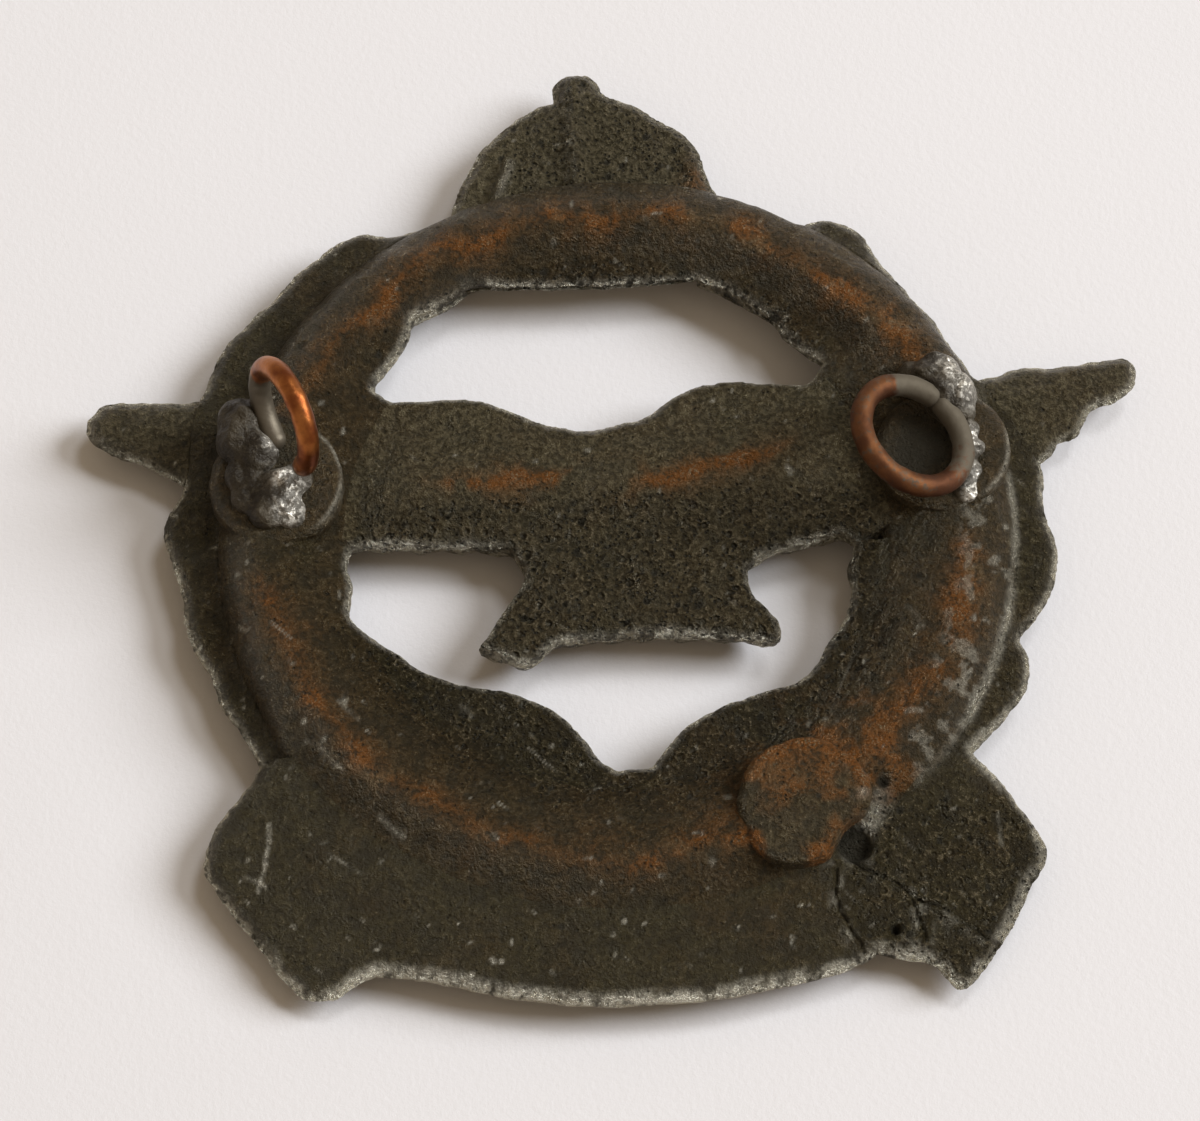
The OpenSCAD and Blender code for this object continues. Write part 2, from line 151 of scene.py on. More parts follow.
def casting(name, keep, cut, top, under, material, nodes, pitch=0.13, rows=4, bulge=0.1):
    """Closed slab inside every outline of keep and outside every one of cut: a grid of heights top(x, y)
    above and under(x, y) below, its border points moved onto the outline, and between them a wall that
    bulges as bulge * sin(pi t)."""
    lo = np.max([k.min(axis=0) for k in keep], axis=0) - 2 * pitch
    hi = np.min([k.max(axis=0) for k in keep], axis=0) + 2 * pitch
    x, y = np.meshgrid(np.arange(lo[0], hi[0], pitch), np.arange(lo[1], hi[1], pitch), indexing="ij")
    d = np.full(x.shape, 1e9)
    near_x, near_y = x.copy(), y.copy()
    for side, loops in ((1, keep), (-1, cut)):
        for loop in loops:
            far, fx, fy = reach(x, y, loop)
            less = side * far < d
            d = np.where(less, side * far, d)
            near_x, near_y = np.where(less, fx, near_x), np.where(less, fy, near_y)
    cell = (d[:-1, :-1] + d[1:, :-1] + d[:-1, 1:] + d[1:, 1:]) > 0
    around = np.zeros(x.shape, int)
    for p in (slice(None, -1), slice(1, None)):
        for q in (slice(None, -1), slice(1, None)):
            around[p, q] += cell
    used, rim = around > 0, (around > 0) & (around < 4)
    gx, gy = np.gradient(d, pitch)
    size = np.hypot(gx, gy) + 1e-9
    out_x, out_y = -gx / size, -gy / size
    x, y = np.where(rim, near_x, x), np.where(rim, near_y, y)
    count = int(used.sum())
    order = np.full(x.shape, -1)
    order[used] = np.arange(count)
    px, py = x[used], y[used]
    z_top, crest, deep, bare_and_glint = top(px, py)
    z_low = np.minimum(under(px, py), z_top - 0.15)
    points = [np.stack([px, py, z_top], 1), np.stack([px, py, z_low], 1)]
    rim_order = np.full(x.shape, -1)
    rim_order[rim] = np.arange(int(rim.sum()))
    on_rim = rim[used]
    rx, ry, ox, oy = px[on_rim], py[on_rim], out_x[rim], out_y[rim]
    rt, rl = z_top[on_rim], z_low[on_rim]
    for k in range(1, rows):
        t = k / rows
        z = rt + (rl - rt) * t
        push = bulge * math.sin(math.pi * t) + 0.07 * lumps(70 + k, rx + 3 * ry, z * 3 + ry, 0.5)
        points.append(np.stack([rx + ox * push, ry + oy * push, z], 1))
    i, j = np.nonzero(cell)
    a, b, c, e = order[i, j], order[i + 1, j], order[i + 1, j + 1], order[i, j + 1]
    faces = [np.stack([a, b, c, e], 1), np.stack([a, e, c, b], 1) + count]
    wide = np.pad(cell, 1)
    sides = ((1, 0, (1, 0), (1, 1)), (0, 1, (1, 1), (0, 1)), (-1, 0, (0, 1), (0, 0)), (0, -1, (0, 0), (1, 0)))
    for di, dj, p, q in sides:
        lone = ~wide[i + 1 + di, j + 1 + dj]
        pi, pj, qi, qj = i[lone] + p[0], j[lone] + p[1], i[lone] + q[0], j[lone] + q[1]
        p_all, q_all = [order[pi, pj]], [order[qi, qj]]
        rims = int(rim.sum())
        for k in range(rows - 1):
            p_all.append(2 * count + k * rims + rim_order[pi, pj])
            q_all.append(2 * count + k * rims + rim_order[qi, qj])
        p_all.append(order[pi, pj] + count)
        q_all.append(order[qi, qj] + count)
        for k in range(rows):
            faces.append(np.stack([p_all[k], p_all[k + 1], q_all[k + 1], q_all[k]], 1))
    points = np.vstack(points)
    faces = np.vstack(faces)
    wall = np.zeros(len(points))
    wall[2 * count:] = 1
    spare = len(points) - count
    body_d = open_edge(points[:, 0], points[:, 1])
    marks = {"edge": np.where(wall > 0, 0, body_d), "wall": wall,
             "pore": porosity(points[:, 0], points[:, 1]),
             "crest": np.concatenate([crest, np.zeros(spare)]),
             "deep": np.concatenate([deep, np.zeros(spare)]),
             "bare_and_glint": np.concatenate([bare_and_glint, np.zeros(count), scraped_and_highlights(*points[2 * count:, :2].T)
                                     * (0.45 + 0.55 * (points[2 * count:, 1] < -20))])}
    return mesh_piece(name, points, faces, material, nodes, marks)


# Edges that the castings share, each followed along the metal.
wing_top = [(-11.9, 7.6), (-10.9, 6.95), (-9, 7.0), (-7.2, 6.9), (-5.2, 6.2), (-3.2, 5.2), (-1.7, 4.9),
            (-0.4, 5.0), (1.5, 5.4), (2.8, 6.2), (4.2, 6.9), (6.2, 7.1), (8, 6.9), (9.7, 6.9), (10.5, 7.6)]
wing_low_left = [(-13.4, -0.7), (-9.5, -0.9), (-6.6, -1.1), (-5.6, -1.3), (-5.0, -2.1), (-4.9, -3.1),
                 (-5.6, -4.2), (-6.4, -5.4), (-7.3, -6.6)]
tail_low = [(-7.3, -6.6), (-6.3, -7.0), (-5.3, -7.4), (-4.4, -7.2), (-3.5, -6.5), (-0.8, -6.2), (2.2, -6.3),
            (4.8, -6.55), (7.4, -6.9)]
wing_low_right = [(7.4, -6.9), (7.45, -6.2), (7.1, -5.4), (6.3, -4.4), (6.0, -3.4), (6.2, -2.7), (7.8, -1.9),
                  (9.3, -1.7), (10.6, -1.4), (11.7, -1.9)]
arch = [(-11.9, 7.6), (-11.8, 8.5), (-10.8, 9.6), (-10.2, 10.6), (-9.7, 11.6), (-7.9, 12.5), (-6.7, 13.2),
        (-4, 13.2), (-1, 13.0), (2, 13.05), (4.2, 13.1), (5.6, 12.5), (7.2, 11.5), (8.3, 10.5), (9.1, 9.3),
        (10.3, 8.3), (10.7, 8.0), (10.5, 7.6)]
lobes = [(11.7, -1.9), (11.4, -2.7), (11.1, -3.4), (11.3, -4.3), (11.0, -5.6), (10.0, -7.2), (9.2, -8.4),
         (8.4, -9.2), (6.4, -9.8), (4.2, -10.4), (2.6, -11.3), (1.6, -12.4), (0.8, -13.3), (-0.1, -13.3),
         (-0.9, -13.4), (-1.9, -12.6), (-2.5, -11.7), (-3.0, -11.0), (-3.9, -10.1), (-4.9, -9.5),
         (-6.8, -8.8), (-8.7, -8.3), (-10.3, -7.5), (-11.9, -6.2), (-13.1, -5.3), (-13.6, -4.6), (-13.5, -2.9),
         (-13.75, -1.8), (-13.4, -0.7)]
top_opening = ragged(dense(np.vstack([curve(arch), curve(wing_top)[::-1]])), 11)
low_opening = ragged(dense(np.vstack([curve(wing_low_left), curve(tail_low), curve(wing_low_right),
                                      curve(lobes)])), 12)
leaf_left = [(-7.6, 17.2), (-9, 16.8), (-10.5, 16.45), (-11.3, 16.5), (-12.4, 16.7), (-14.1, 15.8), (-15.6, 14.5),
             (-17.8, 12.2), (-19.3, 10.6), (-20.2, 8.6), (-21.0, 6.5), (-21.4, 3.3), (-22.4, 1.3),
             (-22.5, 0.1), (-21.9, -1.8), (-21.5, -4.8), (-20.6, -6.8), (-20.1, -8.4), (-19.3, -9.7),
             (-18.1, -12.0)]
leaf_right = [(6.0, 17.7), (7.6, 17.0), (9.5, 15.9), (10.2, 15.85), (10.8, 16.2), (11.9, 16.1), (13.1, 15.2),
              (13.8, 13.9), (15.1, 12.0), (16.4, 10.0), (17.3, 8.3), (18.7, 6.1), (20.7, 2.7), (21.1, 0.9),
              (21.1, -0.8), (21.4, -2.1), (21.4, -3.6), (20.5, -5.7), (19.2, -7.2), (19.55, -8.4),
              (19.2, -10.2), (18.2, -11.4), (17.6, -12.0), (16.4, -13.2)]
crown_edge = [(-7.6, 17.0), (-7.3, 18.4), (-6.6, 19.9), (-5.7, 21.2), (-4.0, 22.8), (-2.6, 23.5),
              (-2.0, 23.7), (-2.0, 24.4), (-1.6, 25.0), (-1.0, 25.2), (-0.4, 25.1), (0.1, 24.7),
              (0.5, 24.0), (1.4, 23.55), (2.4, 23.0), (3.4, 22.2), (4.4, 21.5), (5.1, 20.3), (5.35, 19.2),
              (6.0, 17.6)]
tip_left = [(-20.0, 8.0), (-22.5, 7.9), (-25.0, 8.1), (-26.0, 7.5), (-26.3, 6.9), (-26.0, 6.0),
            (-24.8, 5.2), (-23.6, 4.8), (-22.3, 4.0), (-21.0, 3.0)]
tip_right = [(17.7, 6.9), (19.2, 7.05), (20.5, 7.5), (22.2, 7.5), (24.1, 7.6), (25.6, 7.8), (26.1, 7.6),
             (26.3, 7.2), (26.1, 6.3), (25.1, 5.5), (24.2, 5.3), (23.6, 4.7), (23.1, 3.8), (22.1, 3.4),
             (21.6, 2.6), (20.8, 2.2)]
scroll_left = [(-18.1, -12.0), (-18.8, -13.2), (-20.1, -14.6), (-20.9, -16.0), (-21.1, -17.0),
               (-20.8, -17.9), (-19.6, -19.7), (-18.4, -21.4), (-17.2, -23.1), (-16.2, -23.8),
               (-15.1, -23.9), (-14.2, -23.3), (-13.1, -23.0)]
scroll_low = [(-13.1, -23.0), (-10.7, -23.4), (-6.7, -24.5), (-2.7, -25.1), (1.2, -25.2), (5.2, -24.8),
              (9.2, -24.0), (11.1, -23.2)]
scroll_right = [(11.1, -23.2), (12.1, -23.5), (13.8, -23.9), (14.6, -24.7), (15.3, -25.0), (16.5, -23.8),
                (18.0, -21.5), (19.0, -19.7), (19.6, -18.4), (19.2, -17.4), (18.3, -16.0), (17.4, -14.5),
                (16.4, -13.2)]


def ring_arc(r, start, end, steps=90):
    """Points of the circle of radius r round the ring's centre, from start to end in degrees."""
    a = np.radians(np.linspace(start, end, steps))
    return np.stack([RING_X + r * np.cos(a), RING_Y + r * np.sin(a)], axis=1)


wreath_loop = ragged(dense(np.vstack([curve(leaf_left)[::-1], curve(leaf_right), ring_arc(20.7, -36.2, -148.5)])), 11)
bird_loop = ragged(dense(np.vstack([curve(tip_left), curve(wing_low_left), curve(tail_low), curve(wing_low_right),
                                    curve(tip_right)[::-1], curve(wing_top)[::-1]])), 11)
crown_loop = ragged(dense(np.vstack([curve(crown_edge), [(5.4, 13.1), (-1, 12.9), (-7.0, 13.2)]])), 11)
scroll_loop = ragged(dense(np.vstack([curve(scroll_left), curve(scroll_low), curve(scroll_right),
                                      ring_arc(16.2, -45, -135)])), 11)
ring_edge, ring_bore = ring_arc(RING_OUT + 0.25, 0, 358, 180), ring_arc(RING_IN - 0.25, 0, 358, 180)

# Distance from the badge's open edge, on a fine grid: the empty cells are found first, then spread.
MAP_STEP, MAP_REACH = 0.1, 14
map_x, map_y = np.meshgrid(np.arange(-27.5, 27.5, MAP_STEP), np.arange(-26.5, 26.5, MAP_STEP), indexing="ij")
metal = np.zeros(map_x.shape, bool)
for loop in (wreath_loop, bird_loop, crown_loop, scroll_loop):
    metal |= reach(map_x, map_y, loop)[0] > 0
for loop in (top_opening, low_opening):
    metal &= reach(map_x, map_y, loop)[0] < 0
edge_map = np.full(map_x.shape, MAP_STEP * MAP_REACH)
for p in range(-MAP_REACH, MAP_REACH + 1):
    for q in range(-MAP_REACH, MAP_REACH + 1):
        gone = ~np.roll(metal, (p, q), (0, 1))
        edge_map[gone] = np.minimum(edge_map[gone], MAP_STEP * math.hypot(p, q))


def open_edge(x, y):
    """Distance in millimetres from the badge's silhouette or an opening, at most 1.4, read off the map."""
    u = np.clip((x - map_x[0, 0]) / MAP_STEP, 0, map_x.shape[0] - 2)
    v = np.clip((y - map_y[0, 0]) / MAP_STEP, 0, map_x.shape[1] - 2)
    i, j = u.astype(int), v.astype(int)
    a, b = u - i, v - j
    return ((edge_map[i, j] * (1 - a) + edge_map[i + 1, j] * a) * (1 - b)
            + (edge_map[i, j + 1] * (1 - a) + edge_map[i + 1, j + 1] * a) * b)


def polar(x, y):
    """Radius and angle in degrees, 0 to 360, about the ring's centre."""
    return np.hypot(x - RING_X, y - RING_Y), np.degrees(np.arctan2(y - RING_Y, x - RING_X)) % 360


def spot(x, y, at_x, at_y, wide, high=None):
    """Soft round patch, exp(-(dx / wide)^2 - (dy / high)^2)."""
    return np.exp(-((x - at_x) / wide) ** 2 - ((y - at_y) / (high or wide)) ** 2)


def stroke(x, y, a, b, wide):
    """Soft line from a to b, exp(-(d / wide)^2) at distance d from it."""
    sx, sy = b[0] - a[0], b[1] - a[1]
    t = np.clip(((x - a[0]) * sx + (y - a[1]) * sy) / (sx * sx + sy * sy), 0, 1)
    return np.exp(-((x - a[0] - t * sx) ** 2 + (y - a[1] - t * sy) ** 2) / wide**2)


def porosity(x, y):
    """Share of the casting's skin broken by blow holes: most on the tail, lower wings and inner lips."""
    r = polar(x, y)[0]
    lobes_in = (1 - smooth(13.6, 15.6, r)) * (1 - smooth(-7, -4, y))
    lip_in = (1 - smooth(14.6, 15.8, r)) * smooth(8, 11, y)
    low_wing = (1 - smooth(0.2, 1.8, y)) * smooth(-7.8, -6.8, y) * (1 - smooth(12.4, 13.4, r))
    corner = smooth(9, 12, x) * (1 - smooth(-17, -14, y))
    crown = smooth(17.5, 18.5, y) * smooth(-6, -3, x)
    return 0.08 + 0.72 * np.clip(lobes_in * 0.7 + lip_in + 0.9 * low_wing + 0.7 * corner + 0.6 * crown, 0, 1)


def skin(x, y):
    """Height of the rough cast skin above a smooth one, and how deep in a blow hole each point is."""
    share = porosity(x, y)
    deep = np.maximum(pocks(21, x, y, 0.62, 0.30 * share), 0.7 * pocks(22, x, y, 0.45, 0.45 * share))
    rough = (0.20 * lumps(1, x, y, 2.3) + 0.17 * lumps(2, x, y, 0.95)
             + (0.06 + 0.13 * share) * lumps(3, x, y, 0.42))
    return rough - (0.06 + 0.22 * share) * deep, deep


def lip(x, y, width=0.55, drop=0.40):
    """How far the rounded rim has fallen: drop * (1 - d / width)^2 within width of an open edge."""
    return drop * np.clip(1 - open_edge(x, y) / width, 0, 1) ** 2


def inner_height(x, y):
    """Smooth back surface inside the ring's outer edge: rib, its inner slope, wing bar and tail."""
    r, a = polar(x, y)
    low = smooth(203, 214, a) * (1 - smooth(316, 330, a))
    inward = np.clip((RIB_R - r) / (RIB_R - RING_IN), 0, 1.6)
    arch = smooth(28, 42, a) * (1 - smooth(140, 155, a))
    fall = (1 - arch) * inward**1.35 + arch * (smooth(0.05, 0.56, inward) + 0.05 * np.clip(inward - 0.56, 0, 1))
    rib = Z_CREST - (Z_CREST - Z_FLAT) * fall
    out = np.clip((r - RIB_R) / (RING_OUT - RIB_R), 0, 1)
    steep = 2.42 + (Z_CREST - 2.42) * np.sqrt(1 - out**2 * 0.999)
    easy = Z_CREST - 1.15 * (0.5 - 0.5 * np.cos(np.pi * out**1.1))
    ring = np.where(r > RIB_R, steep * (1 - low) + easy * low, np.maximum(rib, Z_FLAT - 0.25))
    crest_y = np.interp(x, [-13.6, -3.0, 1.9, 7.6, 13], [2.2, 1.8, 1.6, 2.9, 4.4])
    off = y - crest_y
    bar = 3.66 - 0.155 * np.abs(off) ** 1.15 - 0.10 * smooth(0, 2.5, -off)
    tail = 3.02 + 0.10 * spot(x, y, 0.5, -4, 4.0, 3.0)
    bar = np.maximum(bar, tail)
    into = smooth(11.2, 13.6, r)
    wing = (y > -7.6) & (y < 8.2) & (r < 15)
    return np.where(wing & (r < 13.6) & ((y > -2.0) | (np.abs(x) < 8.2)), bar * (1 - into) + ring * into, ring)


def wear(x, y, z):
    """Copper shows where the skin is rubbed: on the rib's crest, along the wing bar and round the pad. Round
    the ring each arc has its share and the degrees where it starts, is full, fades and ends."""
    r, a = polar(x, y)
    wander = r - 17.3 + 1.3 * lumps(34, x, y, 3.1)
    ridge = 0.5 * np.exp(-(wander / 1.0) ** 2) + 0.7 * np.exp(-(wander / 0.35) ** 2)
    broken = smooth(-0.12, 0.25, lumps(31, x, y, 1.9) + 0.6 * lumps(32, x, y, 0.6))
    where = 0 * a
    for much, low, full, fade, high in ((0.6, 60, 75, 112, 150), (0.9, 20, 40, 60, 75), (0.85, 182, 195, 225, 245),
                                        (0.5, 235, 255, 285, 300), (0.95, 298, 315, 352, 358),
                                        (0.75, 112, 125, 150, 165)):
        where = where + much * smooth(low, full, a) * (1 - smooth(fade, high, a))
    crest_y = np.interp(x, [-13.6, -3.0, 1.9, 7.6, 13], [2.2, 1.8, 1.6, 2.9, 4.4])
    off = y - crest_y + 0.7 * lumps(33, x, y, 2.4)
    bar = (0.35 * np.exp(-(off / 0.9) ** 2) + 0.9 * np.exp(-(off / 0.28) ** 2)) * (r < 13.5)
    bar = bar * smooth(-11, -5, x) * (1 - smooth(6, 9.5, x))
    pad = spot(x, y, 9.6, -14.2, 3.6) * (r < 19.5)
    return np.clip(ridge * where * (0.25 + 0.75 * broken) + 0.75 * bar * broken + 0.6 * pad * broken, 0, 1)


def scraped_and_highlights(x, y):
    """White metal: the pad's abraded edge, scratches, nicks, chips and worn rims; and painted highlights along
    the rib's outer flank on the right, on the crown's left slanting ridge and on the right-hand rims, where
    the light falls.
    """
    r, a = polar(x, y)
    broken = smooth(-0.15, 0.2, lumps(41, x, y, 1.4) + 0.7 * lumps(42, x, y, 0.4))
    right = smooth(312, 320, a) + (a < 28) * (1 - smooth(12, 28, a))
    # Painted highlight: a bright line along the rib's outer flank on the right-hand arc, which faces the light.
    flank = 0.8 * np.exp(-((r - 19.7) / 0.20) ** 2) * right
    chips = smooth(0.20, 0.28, lumps(47, x, y, 0.65) + 0.4 * lumps(48, x, y, 0.25))
    chips = chips * smooth(16.6, 17.4, r) * (r < RING_OUT) * right
    # Scratches, except the stroke up the crown's left slanting ridge from (-5.1, 18.3): that one is a painted
    # highlight on the lit side of the ridge.
    cuts = 0 * x
    for p, q, wide, much in (((11.9, -15.7), (10.9, -17.3), 0.42, 1.2), ((-17.9, -15.4), (-18.1, -17.3), 0.09, 0.9),
                             ((-18.1, -17.3), (-18.6, -18.6), 0.08, 0.7), ((-19.2, -17.9), (-18.2, -18.4), 0.07, 0.6),
                             ((-15.2, -17.0), (-13.6, -18.2), 0.06, 0.5), ((-15.6, -11.6), (-14.2, -13.1), 0.12, 0.8),
                             ((-14.2, -9.6), (-13.4, -10.6), 0.08, 0.5), ((-12.6, -15.5), (-11.4, -16.6), 0.10, 0.6),
                             ((17.4, -16.6), (17.5, -18.2), 0.07, 0.5), ((-5.1, 18.3), (-4.5, 20.0), 0.22, 0.7),
                             ((9.2, -12.2), (10.9, -8.2), 0.05, 0.4), ((13.8, -6.0), (14.4, -7.2), 0.12, 0.5),
                             ((-9.0, -5.4), (-7.9, -6.3), 0.07, 0.4), ((-8.3, -9.6), (-7.9, -10.2), 0.14, 0.8)):
        bent_x, bent_y = x + 0.25 * lumps(45, x, y, 0.9), y + 0.25 * lumps(46, x, y, 0.9)
        cuts = cuts + much * stroke(bent_x, bent_y, p, q, wide)
    nicks = smooth(0.41, 0.46, lumps(43, x, y, 0.5)) * smooth(0.0, 0.25, lumps(44, x, y, 0.2))
    ticks = (smooth(0.44, 0.50, lumps(52, (x - y) * 0.32, (x + y) * 1.5, 0.55))
             * np.where((x < -4) & (y < -3), 0.8, 0.35))
    foot = (y < -21.0) | ((x > 13.5) & (y < -12))
    near = 1 - smooth(0.02, np.where(foot, 0.62, 0.30), open_edge(x, y))
    # Rims on the right-hand side get a larger share: partly wear, partly painted highlight where the light from the
    # right catches those edges.
    share = np.where(r > RING_OUT - 1, np.where(x > 0, 0.65, 0.40), 0.40)
    share = np.where(foot, 1.0, share)
    share = np.where((x > 17) & (y >= -12) & (y < 7.5), 0.75, share)
    share = np.where((r < 13) & (y < 2) & (y > -7.8) & (np.abs(x) < 11), 0.6, share)
    share = np.where((x < -8) & (y > 7) & (r < 15), 0.8, share)
    share = np.where((y > 8) & (r < 15) & (x > -8), 0.25, share)
    rims = near * share * smooth(-0.3, 0.05, lumps(49, x, y, 0.9) + 0.5 * lumps(50, x, y, 0.3))
    return np.clip(flank * (0.2 + 0.8 * broken) + 0.42 * chips + cuts * (0.3 + 0.7 * broken) + 0.8 * nicks + ticks
                   + rims, 0, 1)


def blow_hole(x, y):
    """The hole beside the pad: 1 over a flat middle, falling to 0 round it."""
    return np.clip(2.6 * spot(x, y, 10.35, -18.0, 0.62, 0.70), 0, 1)


def ring_top(x, y):
    """The ring's back: the smooth rib, its cast skin, rims and the two blow holes beside the pad, the holes
    painted near black, and a patch of painted shade under the left lug loop.
    """
    r = polar(x, y)[0]
    rough, deep = skin(x, y)
    flat = 0.5 + 0.5 * smooth(0.4, 1.6, np.abs(r - 17.3))
    hole = blow_hole(x, y) + 0.7 * spot(x, y, 11.9, -15.1, 0.3)
    sunk = 0.8 * np.clip(RING_IN - r, 0, 1) + 1.6 * np.clip(r - RING_OUT, 0, 1)
    z = inner_height(x, y) + rough * flat - lip(x, y) - 0.9 * hole - sunk
    # Near black in the blow holes, and painted shade on the ring under the left lug loop.
    loop_shade_and_holes = np.maximum(np.clip(hole * 1.6, 0, 1), 0.9 * spot(x, y, -16.5, 5.2, 0.9))
    return z, wear(x, y, z), np.maximum(deep * flat, loop_shade_and_holes), scraped_and_highlights(x, y)


def level(z):
    """A flat face at height z."""
    return lambda x, y: np.full(x.shape, z)


class Sh:
    """One value in a material's node tree; + - and * on it make Math nodes."""

    def __init__(self, tree, out):
        self.tree, self.out = tree, out

    def node(self, kind, settings, inputs, out=0):
        made = self.tree.nodes.new(kind)
        for key, value in settings.items():
            setattr(made, key, value)
        for key, value in inputs.items():
            if isinstance(value, Sh):
                self.tree.links.new(value.out, made.inputs[key])
            else:
                made.inputs[key].default_value = value
        return Sh(self.tree, made.outputs[out])

    def math(self, op, a, b=0.0):
        return self.node("ShaderNodeMath", {"operation": op}, {0: a, 1: b})

    def __add__(self, other):
        return self.math("ADD", self, other)

    def __radd__(self, other):
        return self.math("ADD", other, self)

    def __sub__(self, other):
        return self.math("SUBTRACT", self, other)

    def __rsub__(self, other):
        return self.math("SUBTRACT", other, self)

    def __mul__(self, other):
        return self.math("MULTIPLY", self, other)

    def __rmul__(self, other):
        return self.math("MULTIPLY", other, self)

    def step(self, low, high):
        """0 below low, 1 above high, smooth between."""
        return self.node("ShaderNodeMapRange", {"interpolation_type": "SMOOTHSTEP"},
                         {"Value": self, "From Min": low, "From Max": high})

    def clip(self):
        return self.node("ShaderNodeMath", {"operation": "ADD", "use_clamp": True}, {0: self, 1: 0.0})

    def mix(self, a, b):
        """Colour a where this is 0, b where it is 1."""
        return self.node("ShaderNodeMix", {"data_type": "RGBA"}, {0: self, 6: a, 7: b}, 2)

    def noise(self, scale, detail=3.0, rough=0.55):
        return self.node("ShaderNodeTexNoise", {}, {"Vector": self, "Scale": scale, "Detail": detail,
                                                    "Roughness": rough})

    def cells(self, scale):
        return self.node("ShaderNodeTexVoronoi", {"feature": "F1"}, {"Vector": self, "Scale": scale})


def start(name):
    """A new material's name, tree, Object coordinates and its Principled node."""
    made = bpy.data.materials.new(name)
    made.use_nodes = True
    tree = made.node_tree
    shader = tree.nodes["Principled BSDF"]
    where = Sh(tree, tree.nodes.new("ShaderNodeTexCoord").outputs["Object"])
    return made, tree, where, shader


def finish_material(tree, shader, where, base, rough, metal, height, strength, depth):
    """Links the finished values; the bump height is in units of depth metres."""
    bump = where.node("ShaderNodeBump", {}, {"Strength": strength, "Distance": depth, "Height": height})
    for key, value in {"Base Color": base, "Roughness": rough, "Metallic": metal, "Normal": bump}.items():
        if isinstance(value, Sh):
            tree.links.new(value.out, shader.inputs[key])
        else:
            shader.inputs[key].default_value = value


DARK, OLIVE, BROWN = (0.012, 0.0085, 0.0035, 1), (0.036, 0.0275, 0.0110, 1), (0.047, 0.0275, 0.0095, 1)
# The dust tone is also the colour of the painted sheen lifted onto the crown, wing bar and pad.
DUST_AND_SHEEN, TAN, SILVER = (0.140, 0.116, 0.067, 1), (0.30, 0.24, 0.15, 1), (0.46, 0.43, 0.35, 1)
# The near-black tone serves the blow holes and pits and also the painted shade under the lug loops.
COPPER, DULL_COPPER, HOLE_AND_SHADE = (0.235, 0.085, 0.018, 1), (0.170, 0.112, 0.056, 1), (0.004, 0.003, 0.0015, 1)


